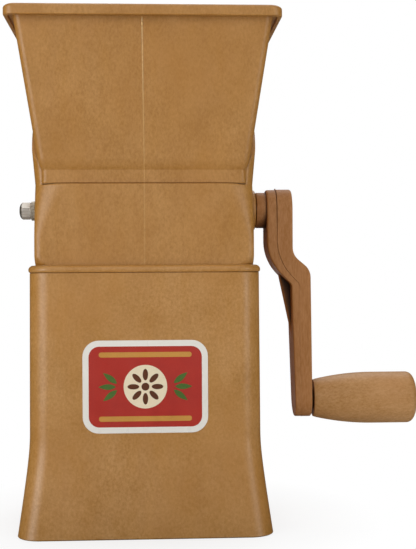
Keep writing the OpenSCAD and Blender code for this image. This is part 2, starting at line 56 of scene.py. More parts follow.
# Places that the frame gives
container_high = node_box("collecting_container")[1]
housing_low, housing_high = node_box("hopper_housing")
shaft_low, shaft_high = node_box("drive_shaft")
label_low, label_high = node_box("front_label")
crank_low, crank_high = node_box("crank_arm")
knob_low, knob_high = node_box("knob")
pin_low = node_box("knob_pin")[0]
drive_bush_low, drive_bush_high = node_box("drive_bush")
idle_bush_low, idle_bush_high = node_box("idle_bush")
comb_low, comb_high = node_box("front_comb")
nut_low, nut_high = node_box("cap_nut")
washer_low, washer_high = node_box("nut_washer")
shaft_level = (shaft_low.z + shaft_high.z) / 2
knob_level = (knob_low.z + knob_high.z) / 2

# Fits and small edges that several pieces share
SLIP = 0.04
BROKEN_EDGE = 0.6
CUT_OVER = 1.0

# Container
FOOT_SPREAD = 4.8
FOOT_HEIGHT = 44.0
FOOT_SOFTNESS = 0.27
FOOT_ROUND = 0.9
FOOT_INNER_EDGE = 0.3
SIDE_DRAFT = 0.5
CONTAINER_WALL = 2.2
CONTAINER_CORNER = 10.0
LIP_HEIGHT = 3.2
LIP_REACH = 0.6
LIP_CROWN = 2.0
LIP_INSIDE = 0.5
LIP_GROOVE = 0.2
LIP_GAP = 0.12
FLOOR_LEVEL = 42.4
FLOOR_THICKNESS = 2.4
FLOOR_FILLET = 2.0
STOP_RIB_SPACING = 60.0
STOP_RIB_REACH = 3.0
STOP_RIB_THICKNESS = 2.4
STOP_RIB_EDGE = 0.5
STOP_RIB_CORNER = 0.7
wall_x = container_high.x - FOOT_SPREAD - SIDE_DRAFT
wall_y = container_high.y - FOOT_SPREAD
container_rim = container_high.z
cavity_x = wall_x - CONTAINER_WALL
cavity_y = wall_y - CONTAINER_WALL
cavity_corner = CONTAINER_CORNER - CONTAINER_WALL

# Front label
LABEL_CORNER = 7.0
LABEL_BORDER = 2.6
PRINT_LAYER = 0.03
PRINT_SINK = 0.02
FIELD_CORNER = 4.6
BAND_HEIGHT = 2.2
BAND_CORNER = 1.0
BAND_MARGIN = 7.0
BAND_DROP = 3.6
DISC_RADIUS = 9.4
EYE_RADIUS = 1.7
PETAL_COUNT = 8
PETAL_REACH = 5.2
PETAL_LENGTH = 5.0
PETAL_WIDTH = 2.3
SPRIG_REACH = 10.4
LEAF_START = 2.3
LEAF_LENGTH = 7.6
LEAF_WIDTH = 2.5
LEAF_CURVE = 0.85
LEAF_SPREAD = 38.0

# Housing
SEAT_CLEARANCE = 0.3
HOUSING_WALL = 2.6
WAIST_RISE = 35.5
WAIST_CORNER = (3.4, 2.4)
WAIST_TOP_CORNER = (14.5, 8.6)
WAIST_TAPER = 23.0
TAPER_CURVE = 1.2
TUCK_LEAD = 1.0
TUCK_START = 0.25
TUCK_RISE = 3.55
TUCK_CURVE = 0.68
TUCK_SHARES = (0.06, 0.18, 0.36, 0.6, 1)
LEDGE_ROUND = 0.8
NECK_RISE = 6.0
NECK_INSET = 3.2
NECK_SETBACK = 1.6
NECK_CORNER = 2.6
NECK_ROLL = ((-0.04, 0), (-0.04, 0.16), (0.06, 0.3), (0.14, 0.6), (0.14, 0.8), (0, 1.3))
NECK_CRISP = (0.5, 0.02)
BROW_DEPTH = 1.5
SIDE_BROW = 0.9
BROW_HEIGHT = 5.0
HOPPER_CORNER = 3.4
RIM_CORNER = 4.6
RIM_RISE = 4.8
RIM_REACH = 3.9
RIM_LIP = 1.8
RIM_ROUND = 1.7
RIM_CROWN = 2.8
RIM_CHANNEL = 1.0
RIM_EDGE = 0.45
CHANNEL_ROOT = 0.75
CHANNEL_ROUND = 0.4
MOUTH_EDGE = 0.9
THROAT_CORNER = 1.2
CHEEK_LEAN = 2.7
CHEEK_OVER = 1.2
CHEEK_SETBACK = 1.8
CHEEK_EDGE = 0.7
CHEEK_FILLET = 0.12
CHEEK_LEAST_FILLET = 0.02
CHEEK_SINK = 0.3
CHEEK_ROOT = 1.5
CHEEK_RING_CURVE = 1.8
BOSS_WALL = 1.8
BOSS_ROUND = 0.9
BOSS_FILLET = 0.5
BOSS_SINK = 0.12
BUSH_FLANGE = 2.0
RIDGE_TOP_X = -0.6
RIDGE_HALF_WIDTH = 0.4
RIDGE_LOW = 0.08
RIDGE_HIGH = 0.22
RIDGE_SINK = 0.35
NIB_DROP = 3.0
NIB_HALF_WIDTH = 0.55
NIB_STRETCH = 2.4
NIB_PROFILE = ((1.0, -0.4), (0.9, 0.1), (0.65, 0.3), (0.25, 0.4))
SCREW_BOSS = 6.4
SCREW_WEB_CORNER = 0.4
SCREW_SPACING = 62.0
SCREW_DIAMETER = 3.0
SCREW_HEAD = 5.6
SCREW_GRIP = 9.0
waist_x = cavity_x - SEAT_CLEARANCE
waist_y = cavity_y - SEAT_CLEARANCE
waist_corner = cavity_corner - SEAT_CLEARANCE
chamber_x = waist_x - HOUSING_WALL
chamber_y = waist_y - HOUSING_WALL
chamber_corner = waist_corner - HOUSING_WALL
stop_level = housing_low.z
ledge_level = container_rim + WAIST_RISE
neck_top = ledge_level + NECK_RISE
neck_x = waist_x - NECK_INSET
neck_y = waist_y - NECK_SETBACK
rim_top = housing_high.z
rim_under = rim_top - RIM_RISE
hopper_x = housing_high.x - RIM_REACH
hopper_y = housing_high.y - RIM_REACH
hopper_rise = rim_under - neck_top
cheek_radius = waist_y + CHEEK_OVER
cheek_slope = CHEEK_LEAN / (shaft_level + cheek_radius - ledge_level)
barrel_radius = waist_y - BROKEN_EDGE - HOUSING_WALL

# Cap nut
NUT_FLATS = 7.0
NUT_DOME = 1.0
NUT_INSET = 0.5
NUT_TURN = -17.0
NUT_DARK_END = 1.6
NUT_CHAMFER = 0.45
NUT_SEAT_CHAMFER = 0.55
NUT_SEAT_INSET = 0.1
NUT_DOME_INSET = 0.15
WASHER_EDGE = 0.3
STUD = 4.0
nut_end = nut_low.x + NUT_INSET

# Crank and knob
COLLAR_DIAMETER = 16.6
COLLAR_LENGTH = 4.6
COLLAR_EDGE = 0.45
HUB_THICKNESS = 12.0
ARM_THICKNESS = 9.5
ARM_END_THICKNESS = 7.7
ARM_TAPER_START = 38.0
PAD_HEIGHT = 0.4
PAD_DIAMETER = 10.0
PAD_EDGE = 0.15
INNER_BEND_START = 14.4
INNER_BEND = 22.0
INNER_FILLET = 2.5
INNER_ANGLE = 45.0
OUTER_BEND_START = 17.7
ARM_LEAN = 0.75
OUTER_BEND = 7.5
OUTER_ANGLE = 50.0
HUB_ROUND = 1.1
ARM_END_ROUND = 0.7
STRAIGHT_START = 24.0
STRAIGHT_RUN = 22.0
PARTING_PLACE = 4.6
PARTING_SHIFT = 1.7
PARTING_HALF_WIDTH = 0.26
PARTING_STEP = 0.2
PARTING_GROOVE = 0.34
PARTING_RIDGE = 0.12
PARTING_NIB = 0.5
PARTING_TAIL = 0.676
PARTING_FADE_RUN = 12.0
HUB_FADE = 0.4
ARM_FADE = 0.35
BEND_RIB_ANGLE = 42.0
BEND_RIB_END = 64.0
BEND_RIB_THICKNESS = 4.0
BEND_RIB_NOSE = 0.8
SQUARE_SIDE = 8.0
PIN_THREAD = 5.0
END_PLAY = 0.2
KNOB_NECK = 17.4
KNOB_SWELL = 28.0
KNOB_DOME = 4.2
KNOB_DOME_CURVE = 0.8
KNOB_EDGE = 0.3
KNOB_CORNER = 0.1
KNOB_BORE = 6.1
KNOB_RECESS = 10.2
KNOB_RECESS_DEPTH = 3.3
KNOB_INSET = 0.7
crank_throw = shaft_level - knob_level
hub_radius = crank_high.z - shaft_level
arm_end_radius = knob_level - crank_low.z
collar_face = crank_low.x
hub_in = collar_face + COLLAR_LENGTH
hub_out = hub_in + HUB_THICKNESS
arm_out = crank_high.x - PAD_HEIGHT
arm_in = arm_out - ARM_THICKNESS
arm_end_in = arm_out - ARM_END_THICKNESS


# Shapes: each is a list of points and a list of faces

def circle_arc(radius, start, end, steps):
    """Pairs of cosine and sine shares of a radius, from one angle in degrees to another."""
    turns = [math.radians(start + (end - start) * k / steps) for k in range(steps + 1)]
    return [(radius * math.cos(a), radius * math.sin(a)) for a in turns]


def clamped(share):
    """A share kept between nothing and all."""
    return min(1.0, max(0.0, share))


def corner_radii(corner):
    """A corner's radii along X and along Y, from a pair or from one radius for both."""
    return corner if isinstance(corner, tuple) else (corner, corner)


def rounded_ring(half_x, half_y, corner, z, corner_steps=12, side_steps=8):
    """Points round a rounded rectangle at one height, anticlockwise from above."""
    ring = []
    corner_x, corner_y = corner_radii(corner)
    quarters = [(1, 1), (-1, 1), (-1, -1), (1, -1)]
    for quarter, (sign_x, sign_y) in enumerate(quarters):
        centre = Vector((sign_x * (half_x - corner_x), sign_y * (half_y - corner_y), z))
        arc = circle_arc(1, 90 * quarter, 90 * quarter + 90, corner_steps)
        ring += [centre + Vector((corner_x * c, corner_y * s, 0)) for c, s in arc]
        next_x, next_y = quarters[(quarter + 1) % 4]
        next_centre = Vector((next_x * (half_x - corner_x), next_y * (half_y - corner_y), z))
        along = next_centre - centre
        last = ring[-1]
        ring += [last + along * k / side_steps for k in range(1, side_steps)]
    return ring


def loft(rings, closed=False):
    """Solid through rings of equal length: capped at its ends, or closed into a loop."""
    count = len(rings[0])
    points = [p for ring in rings for p in ring]
    faces = []
    for i in range(len(rings) if closed else len(rings) - 1):
        low = i * count
        high = (i + 1) % len(rings) * count
        for j in range(count):
            k = (j + 1) % count
            faces.append((low + j, low + k, high + k, high + j))
    if not closed:
        faces.append(tuple(reversed(range(count))))
        faces.append(tuple(range(len(points) - count, len(points))))
    return points, faces


def joined_rows(rows):
    """Faces of a sheet between rows of points of equal length."""
    width = len(rows[0])
    starts = [i * width + j for i in range(len(rows) - 1) for j in range(width - 1)]
    return [(k, k + 1, k + 1 + width, k + width) for k in starts]


def turned(profile, z, closed=False, steps=72):
    """Solid turned about a line along X at a height, from pairs of place along X and radius."""
    around = circle_arc(1, 0, 360, steps)[:-1]
    rings = [[Vector((x, r * c, z + r * s)) for c, s in around] for x, r in profile]
    return loft(rings, closed)


def plate(outline, place, back, front):
    """Flat plate in the XZ plane at a place, from an outline of X and Z, between two depths."""
    rings = [[Vector((place.x + x, y, place.z + z)) for x, z in outline] for y in (back, front)]
    return loft(rings)


def mirrored(shape):
    """A shape on the other side of the middle plane across X."""
    points, faces = shape
    return [Vector((-p.x, p.y, p.z)) for p in points], faces


def together(shapes):
    """Several shapes as one."""
    points, faces = [], []
    for more_points, more_faces in shapes:
        start = len(points)
        points += more_points
        faces += [tuple(start + i for i in face) for face in more_faces]
    return points, faces


def made(name, shape):
    """Blender object of a shape, with its faces turned outward."""
    points, faces = shape
    mesh = bpy.data.meshes.new(name)
    mesh.from_pydata([p * MM for p in points], [], faces)
    tidy = bmesh.new()
    tidy.from_mesh(mesh)
    bmesh.ops.remove_doubles(tidy, verts=tidy.verts, dist=1e-7)
    bmesh.ops.recalc_face_normals(tidy, faces=tidy.faces)
    tidy.to_mesh(mesh)
    tidy.free()
    obj = bpy.data.objects.new(name, mesh)
    bpy.context.scene.collection.objects.link(obj)
    return obj


def combine(obj, operation, shapes):
    """Adds shapes to an object, or cuts them from it, one after another."""
    for shape in shapes:
        tool = made("tool", shape)
        step = obj.modifiers.new(operation, "BOOLEAN")
        step.solver = "MANIFOLD"
        step.operation = operation
        step.object = tool
        graph = bpy.context.evaluated_depsgraph_get()
        result = bpy.data.meshes.new_from_object(obj.evaluated_get(graph))
        obj.modifiers.clear()
        used, obj.data = obj.data, result
        bpy.data.meshes.remove(used)
        bpy.data.meshes.remove(tool.data)
    obj.data.name = obj.name


def dressed(obj, material, body, replaced=None, crease=32):
    """Smooths a piece up to a crease angle, gives it its finish and sets it on its body."""
    obj.data.materials.clear()
    obj.data.materials.append(material)
    obj.data.shade_smooth()
    obj.data.set_sharp_from_angle(angle=math.radians(crease))
    even = obj.modifiers.new("even_normals", "WEIGHTED_NORMAL")
    even.keep_sharp = True
    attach(obj, body)
    if replaced:
        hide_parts(replaced)
    return obj


# Finishes

def srgb(red, green, blue):
    """Linear colour of an sRGB value from 0 to 255."""
    shares = [v / 255 for v in (red, green, blue)]
    linear = [s / 12.92 if s <= 0.04045 else ((s + 0.055) / 1.055) ** 2.4 for s in shares]
    return (*linear, 1.0)


def put_in(tree, socket, value):
    """Sets a socket to a value, or links another node's output to it."""
    if isinstance(value, bpy.types.NodeSocket):
        tree.links.new(value, socket)
    else:
        socket.default_value = value


def node(tree, kind, inputs=None, **settings):
    """Adds a node with its settings; an input is a value or another node's output."""
    added = tree.nodes.new(kind)
    for key, value in settings.items():
        setattr(added, key, value)
    for key, value in (inputs or {}).items():
        put_in(tree, added.inputs[key], value)
    return added


def math_node(tree, operation, first, second=0.0):
    """Result of a sum on one or two values."""
    return node(tree, "ShaderNodeMath", {0: first, 1: second}, operation=operation).outputs[0]


def blend_colour(tree, share, first, second):
    """First colour turned into the second by a share."""
    mix = node(tree, "ShaderNodeMix", {0: share, 6: first, 7: second}, data_type="RGBA")
    return mix.outputs[2]


def span(tree, value, from_low, from_high, to_low=0.0, to_high=1.0):
    """Maps a range of a value to another range, clamped."""
    inputs = {
        "Value": value,
        "From Min": from_low,
        "From Max": from_high,
        "To Min": to_low,
        "To Max": to_high,
    }
    return node(tree, "ShaderNodeMapRange", inputs).outputs["Result"]


def new_group(name, inputs, outputs):
    """Empty shader group with named sockets, and its input and output nodes."""
    tree = bpy.data.node_groups.new(name, "ShaderNodeTree")
    kinds = {"value": "NodeSocketFloat", "colour": "NodeSocketColor", "vector": "NodeSocketVector"}
    for label, kind in inputs:
        tree.interface.new_socket(label, in_out="INPUT", socket_type=kinds[kind])
    for label, kind in outputs:
        tree.interface.new_socket(label, in_out="OUTPUT", socket_type=kinds[kind])
    return tree, tree.nodes.new("NodeGroupInput").outputs, tree.nodes.new("NodeGroupOutput").inputs


def surface_place(tree, stretch):
    """Place on the piece, stretched along its axes."""
    place = node(tree, "ShaderNodeTexCoord").outputs["Object"]
    stretched = node(tree, "ShaderNodeVectorMath", {0: place, 1: stretch}, operation="MULTIPLY")
    return stretched.outputs[0]


def noise(tree, place, scale, detail=3.0, roughness=0.55):
    """Cloudy values, with a scale in clouds per metre."""
    inputs = {"Vector": place, "Scale": scale, "Detail": detail, "Roughness": roughness}
    return node(tree, "ShaderNodeTexNoise", inputs).outputs["Fac"]


def make_clouded_moulding():
    """Cloudy colour of a wood-filled plastic, with fine grain, warm patches and faint flecks."""
    tree, given, put = new_group(
        "clouded_moulding",
        [
            ("Dark", "colour"),
            ("Light", "colour"),
            ("Warm", "colour"),
            ("Cloud Scale", "value"),
            ("Grain Scale", "value"),
            ("Stretch", "vector"),
        ],
        [("Color", "colour"), ("Mask", "value")],
    )
    place = surface_place(tree, given["Stretch"])
    clouds = noise(tree, place, given["Cloud Scale"], 4.0, 0.6)
    grain = noise(tree, place, given["Grain Scale"], 2.0, 0.7)
    grained = math_node(tree, "ADD", math_node(tree, "MULTIPLY", grain, 1.5), clouds)
    mask = span(tree, grained, 0.85, 1.65)
    colour = blend_colour(tree, mask, given["Dark"], given["Light"])
    patch_scale = math_node(tree, "MULTIPLY", given["Cloud Scale"], 0.33)
    patches = span(tree, noise(tree, place, patch_scale, 3.0, 0.55), 0.42, 0.68, 0.0, 0.5)
    warmed = blend_colour(tree, patches, colour, given["Warm"])
    fleck_scale = math_node(tree, "MULTIPLY", given["Grain Scale"], 0.6)
    flecks = span(tree, noise(tree, place, fleck_scale, 1.0, 0.5), 0.72, 0.8, 0.0, 0.35)
    tree.links.new(blend_colour(tree, flecks, warmed, given["Dark"]), put["Color"])
    tree.links.new(mask, put["Mask"])
    return tree


def make_moulded_skin():
    """Height and gloss of a moulded skin: slow waves, fine pebble and hairline rubs."""
    tree, given, put = new_group(
        "moulded_skin",
        [("Pebble Scale", "value"), ("Gloss Low", "value"), ("Gloss High", "value")],
        [("Height", "value"), ("Roughness", "value")],
    )
    place = surface_place(tree, (1, 1, 1))
    waves = noise(tree, place, 38.0, 2.0, 0.5)
    pebble = noise(tree, place, given["Pebble Scale"], 2.0, 0.6)
    height = math_node(tree, "ADD", waves, math_node(tree, "MULTIPLY", pebble, 0.16))
    tree.links.new(height, put["Height"])
    rubs = noise(tree, surface_place(tree, (1, 1, 0.25)), 160.0, 4.0, 0.65)
    reach = math_node(tree, "SUBTRACT", given["Gloss High"], given["Gloss Low"])
    gloss = math_node(tree, "MULTIPLY", reach, span(tree, rubs, 0.3, 0.7))
    tree.links.new(math_node(tree, "ADD", gloss, given["Gloss Low"]), put["Roughness"])
    return tree


def make_edge_wear_and_highlight():
    """Lightens the raised edges of a colour in patches: wear from handling, and a painted highlight
    along the edges.
    """
    tree, given, put = new_group(
        "edge_wear_and_highlight",
        [("Color", "colour"), ("Worn Highlight", "colour"), ("Amount", "value")],
        [("Color", "colour"), ("Mask", "value")],
    )
    raised = node(tree, "ShaderNodeNewGeometry").outputs["Pointiness"]
    edge = span(tree, raised, 0.54, 0.64)
    patches = span(tree, noise(tree, surface_place(tree, (1, 1, 1)), 240.0, 3.0, 0.6), 0.35, 0.7)
    mask = math_node(tree, "MULTIPLY", math_node(tree, "MULTIPLY", edge, patches), given["Amount"])
    tree.links.new(blend_colour(tree, mask, given["Color"], given["Worn Highlight"]), put["Color"])
    tree.links.new(mask, put["Mask"])
    return tree


def make_crease_shade():
    """Painted shade: darkens a colour in its creases, hollows and under overhangs, where little light
    reaches.
    """
    tree, given, put = new_group(
        "crease_shade",
        [("Color", "colour"), ("Shade", "colour"), ("Reach", "value"), ("Amount", "value")],
        [("Color", "colour"), ("Mask", "value")],
    )
    reach = {"Distance": given["Reach"]}
    # The piece's own ambient occlusion sets where the shade is painted
    hidden = node(tree, "ShaderNodeAmbientOcclusion", reach, samples=8, only_local=True).outputs["AO"]
    crease = span(tree, hidden, 0.5, 0.92, 1.0, 0.0)
    mask = math_node(tree, "MULTIPLY", crease, given["Amount"])
    tree.links.new(blend_colour(tree, mask, given["Color"], given["Shade"]), put["Color"])
    tree.links.new(mask, put["Mask"])
    return tree


def make_parting_line():
    """Lightens the moulding line down the middle of the housing, most under the rim, and paints a
    highlight on the nib below the rim.
    """
    tree, given, put = new_group(
        "parting_line",
        [("Color", "colour"), ("Line", "colour")],
        [("Color", "colour"), ("Mask", "value")],
    )
    surface = node(tree, "ShaderNodeTexCoord").outputs
    axes = node(tree, "ShaderNodeSeparateXYZ", {0: surface["Object"]}).outputs
    normal = node(tree, "ShaderNodeSeparateXYZ", {0: surface["Normal"]}).outputs
    outside = math_node(tree, "GREATER_THAN", math_node(tree, "MULTIPLY", axes["Y"], normal["Y"]))
    middle = span(tree, axes["Z"], neck_top * MM, rim_under * MM, 0.0, RIDGE_TOP_X * MM)
    aside = math_node(tree, "ABSOLUTE", math_node(tree, "SUBTRACT", axes["X"], middle))
    near = span(tree, aside, 0.35 * RIDGE_HALF_WIDTH * MM, 1.15 * RIDGE_HALF_WIDTH * MM, 1.0, 0.0)
    height = span(tree, axes["Z"], ledge_level * MM, rim_under * MM, 0.3, 0.85)
    below_rim = math_node(tree, "LESS_THAN", axes["Z"], rim_under * MM)
    breaks = noise(tree, surface_place(tree, (0.1, 0.1, 1)), 420.0, 3.0, 0.6)
    line = near
    for share in (height, below_rim, outside, span(tree, breaks, 0.3, 0.6, 0.45, 1.0)):
        line = math_node(tree, "MULTIPLY", line, share)
    # Painted highlight on the gate nib
    nib_level = (rim_under - NIB_DROP) * MM
    lift = math_node(tree, "ABSOLUTE", math_node(tree, "SUBTRACT", axes["Z"], nib_level))
    around_nib = math_node(tree, "ADD", aside, math_node(tree, "DIVIDE", lift, NIB_STRETCH))
    nib_highlight = span(tree, around_nib, 0.4 * NIB_HALF_WIDTH * MM, 1.2 * NIB_HALF_WIDTH * MM, 1.0, 0.0)
    mask = math_node(tree, "MAXIMUM", line, math_node(tree, "MULTIPLY", nib_highlight, outside))
    tree.links.new(blend_colour(tree, mask, given["Color"], given["Line"]), put["Color"])
    tree.links.new(mask, put["Mask"])
    return tree


def make_drawn_lines():
    """Fine lines of a rolled, brushed or turned metal, and the gloss that goes with them."""
    tree, given, put = new_group(
        "drawn_lines",
        [
            ("Stretch", "vector"),
            ("Scale", "value"),
            ("Gloss Low", "value"),
            ("Gloss High", "value"),
        ],
        [("Mask", "value"), ("Roughness", "value")],
    )
    lines = noise(tree, surface_place(tree, given["Stretch"]), given["Scale"], 5.0, 0.7)
    mask = span(tree, lines, 0.3, 0.72)
    reach = math_node(tree, "SUBTRACT", given["Gloss High"], given["Gloss Low"])
    gloss = math_node(tree, "ADD", math_node(tree, "MULTIPLY", reach, mask), given["Gloss Low"])
    tree.links.new(mask, put["Mask"])
    tree.links.new(gloss, put["Roughness"])
    return tree


clouded_moulding = make_clouded_moulding()
moulded_skin = make_moulded_skin()
edge_wear_and_highlight = make_edge_wear_and_highlight()
crease_shade = make_crease_shade()
parting_line = make_parting_line()
drawn_lines = make_drawn_lines()


def new_finish(name):
    """Material with its node tree and its shader."""
    finish = bpy.data.materials.new(name)
    finish.use_nodes = True
    return finish, finish.node_tree, finish.node_tree.nodes["Principled BSDF"]


def filled(tree, group, inputs):
    """Outputs of a shared group with its inputs set."""
    return node(tree, "ShaderNodeGroup", inputs, node_tree=group).outputs


def bumped(tree, shader, height, distance, strength=0.5):
    """Raises a shader's surface by a height, over a distance in millimetres."""
    inputs = {"Height": height, "Distance": distance * MM, "Strength": strength}
    tree.links.new(node(tree, "ShaderNodeBump", inputs).outputs["Normal"], shader.inputs["Normal"])


def plastic_finish(
    name, dark, light, warm, worn_highlight, shade_colour, stretch, gloss, sheen, reach=0.8, shade_amount=0.85, line=None
):
    """Wood-filled moulded plastic, with a light moulding line where one is given."""
    finish, tree, shader = new_finish(name)
    colour = filled(tree, clouded_moulding, {
        "Dark": srgb(*dark),
        "Light": srgb(*light),
        "Warm": srgb(*warm),
        "Cloud Scale": 70.0,
        "Grain Scale": 900.0,
        "Stretch": stretch,
    })["Color"]
    if line:
        colour = filled(tree, parting_line, {"Color": colour, "Line": srgb(*line)})["Color"]
    # Worn raised edges, which also carry a painted edge highlight
    colour = filled(tree, edge_wear_and_highlight, {
        "Color": colour,
        "Worn Highlight": srgb(*worn_highlight),
        "Amount": 0.25,
    })["Color"]
    # Painted shade in creases and hollows, in the shade colour
    colour = filled(tree, crease_shade, {
        "Color": colour,
        "Shade": srgb(*shade_colour),
        "Reach": reach * MM,
        "Amount": shade_amount,
    })["Color"]
    skin = filled(tree, moulded_skin, {
        "Pebble Scale": 1500.0,
        "Gloss Low": gloss[0],
        "Gloss High": gloss[1],
    })
    tree.links.new(colour, shader.inputs["Base Color"])
    tree.links.new(skin["Roughness"], shader.inputs["Roughness"])
    shader.inputs["Specular IOR Level"].default_value = sheen
    bumped(tree, shader, skin["Height"], 0.2)
    return finish


def metal_finish(
    name, dark, light, stretch, gloss, scale=900.0, depth=0.01, metallic=1.0, dark_reflection=None
):
    """Bare or plated metal with fine lines, and an end darkened with a painted dark reflection where
    its colour is given.
    """
    finish, tree, shader = new_finish(name)
    lines = filled(tree, drawn_lines, {
        "Stretch": stretch,
        "Scale": scale,
        "Gloss Low": gloss[0],
        "Gloss High": gloss[1],
    })
    colour = blend_colour(tree, lines["Mask"], srgb(*dark), srgb(*light))
    # Painted dark reflection on the cap nut's domed end
    if dark_reflection:
        place = node(tree, "ShaderNodeTexCoord").outputs["Object"]
        along = node(tree, "ShaderNodeSeparateXYZ", {0: place}).outputs["X"]
        full, none = (nut_end + NUT_DOME) * MM, (nut_end + NUT_DARK_END) * MM
        colour = blend_colour(tree, span(tree, along, full, none, 0.9, 0.0), colour, srgb(*dark_reflection))
    tree.links.new(colour, shader.inputs["Base Color"])
    tree.links.new(lines["Roughness"], shader.inputs["Roughness"])
    shader.inputs["Metallic"].default_value = metallic
    bumped(tree, shader, lines["Mask"], depth)
    return finish


def ink_finish(name, colour, speck, gloss):
    """Printed ink on vinyl: a faint screen of specks under a thin clear coat."""
    finish, tree, shader = new_finish(name)
    specks = filled(tree, clouded_moulding, {
        "Dark": srgb(*speck),
        "Light": srgb(*colour),
        "Warm": srgb(*colour),
        "Cloud Scale": 160.0,
        "Grain Scale": 2600.0,
        "Stretch": (1, 1, 1),
    })
    skin = filled(tree, moulded_skin, {
        "Pebble Scale": 900.0,
        "Gloss Low": gloss[0],
        "Gloss High": gloss[1],
    })
    tree.links.new(specks["Color"], shader.inputs["Base Color"])
    tree.links.new(skin["Roughness"], shader.inputs["Roughness"])
    shader.inputs["Coat Weight"].default_value = 0.2
    shader.inputs["Coat Roughness"].default_value = 0.25
    bumped(tree, shader, skin["Height"], 0.06)
    return finish


container_plastic = plastic_finish(
    "container_plastic",
    dark=(169, 115, 34),
    light=(195, 143, 78),
    warm=(179, 120, 39),
    worn_highlight=(200, 151, 86),
    shade_colour=(104, 64, 30),
    stretch=(1, 1, 0.8),
    gloss=(0.34, 0.44),
    sheen=1.0,
)
housing_plastic = plastic_finish(
    "housing_plastic",
    dark=(164, 109, 22),
    light=(190, 136, 64),
    warm=(175, 115, 28),
    worn_highlight=(196, 147, 78),
    shade_colour=(104, 64, 30),
    stretch=(1.2, 1, 0.7),
    gloss=(0.4, 0.5),
    sheen=1.0,
    shade_amount=0.65,
    line=(218, 175, 106),
)
# The crank's painted shade reaches far and is near black, to shade the hollow behind the bend and the
# arm's inner face
crank_plastic = plastic_finish(
    "crank_plastic",
    dark=(160, 106, 52),
    light=(187, 134, 85),
    warm=(166, 108, 56),
    worn_highlight=(194, 142, 90),
    shade_colour=(46, 29, 18),
    stretch=(1.4, 1.4, 0.3),
    gloss=(0.5, 0.62),
    sheen=0.3,
    reach=13.0,
    shade_amount=1.0,
)
knob_plastic = plastic_finish(
    "knob_plastic",
    dark=(165, 116, 55),
    light=(192, 145, 93),
    warm=(173, 118, 61),
    worn_highlight=(195, 149, 96),
    shade_colour=(96, 62, 32),
    stretch=(0.7, 1.2, 1.2),
    gloss=(0.46, 0.58),
    sheen=0.5,
)
bearing_nylon = plastic_finish(
    "bearing_nylon",
    dark=(206, 200, 184),
    light=(224, 219, 206),
    warm=(214, 206, 188),
    worn_highlight=(230, 226, 216),
    shade_colour=(150, 142, 124),
    stretch=(1, 1, 1),
    gloss=(0.38, 0.5),
    sheen=0.5,
)
stainless_plate = metal_finish(
    "stainless_plate",
    dark=(178, 179, 180),
    light=(226, 226, 224),
    stretch=(1, 0.08, 1),
    gloss=(0.22, 0.42),
    depth=0.02,
    metallic=0.85,
)
plated_steel = metal_finish(
    "plated_steel",
    dark=(214, 205, 188),
    light=(255, 252, 246),
    stretch=(0.12, 1, 1),
    gloss=(0.18, 0.28),
    metallic=0.46,
)
# The cap nut's domed end carries a painted dark reflection
nut_steel = metal_finish(
    "nut_steel",
    dark=(214, 205, 188),
    light=(255, 252, 246),
    stretch=(0.12, 1, 1),
    gloss=(0.18, 0.28),
    metallic=0.46,
    dark_reflection=(92, 80, 66),
)
washer_steel = metal_finish(
    "washer_steel",
    dark=(164, 152, 132),
    light=(214, 205, 188),
    stretch=(0.3, 1, 1),
    gloss=(0.24, 0.36),
    metallic=0.5,
)
# Dark steel for the knob's washer: painted shade, so that the washer reads as the dark gap between arm
# and knob
painted_shade_steel = metal_finish(
    "painted_shade_steel",
    dark=(74, 66, 58),
    light=(98, 90, 80),
    stretch=(1, 0.2, 0.2),
    gloss=(0.4, 0.55),
)
turned_steel = metal_finish(
    "turned_steel",
    dark=(150, 150, 150),
    light=(204, 204, 202),
    stretch=(1, 0.04, 0.04),
    gloss=(0.18, 0.36),
    scale=2200.0,
    depth=0.02,
)
vinyl_white = ink_finish("vinyl_white", (234, 230, 222), (226, 221, 211), (0.25, 0.38))
ink_red = ink_finish("ink_red", (182, 48, 34), (166, 40, 30), (0.28, 0.4))
ink_ochre = ink_finish("ink_ochre", (204, 148, 66), (190, 134, 56), (0.28, 0.4))
ink_cream = ink_finish("ink_cream", (236, 222, 192), (226, 210, 176), (0.28, 0.4))
ink_brown = ink_finish("ink_brown", (104, 58, 32), (88, 48, 26), (0.28, 0.4))
ink_green = ink_finish("ink_green", (84, 118, 50), (70, 100, 40), (0.28, 0.4))


# Collecting container

def foot_reach(z):
    """Spread of the foot beyond the wall at a height above the table."""
    t = max(0.0, 1 - z / FOOT_HEIGHT)
    s = FOOT_SOFTNESS
    return FOOT_SPREAD * (math.hypot(t, s) - s) / (math.hypot(1, s) - s)


def outside_ring(margin, z, corner=CONTAINER_CORNER):
    """Ring of the container's leaning outside wall, widened by a margin."""
    draft = SIDE_DRAFT * (1 - z / container_rim)
    return rounded_ring(wall_x + draft + margin, wall_y + margin, corner, z)


def inside_ring(margin, z):
    """Ring of the container's upright inside wall, grown by a margin."""
    return rounded_ring(cavity_x + margin, cavity_y + margin, cavity_corner + margin, z)


def stop_rib(x, y, half_x, half_y):
    """Rib inside the container that the waist stands on, with a rounded top edge."""
    edge = STOP_RIB_EDGE
    levels = [
        (0, FLOOR_LEVEL - FLOOR_THICKNESS / 2),
        (0, stop_level - edge),
        (-0.3 * edge, stop_level - 0.3 * edge),
        (-edge, stop_level),
    ]
    rings = [rounded_ring(half_x + m, half_y + m, STOP_RIB_CORNER + m, z, 4, 2) for m, z in levels]
    return loft([[p + Vector((x, y, 0)) for p in ring] for ring in rings])


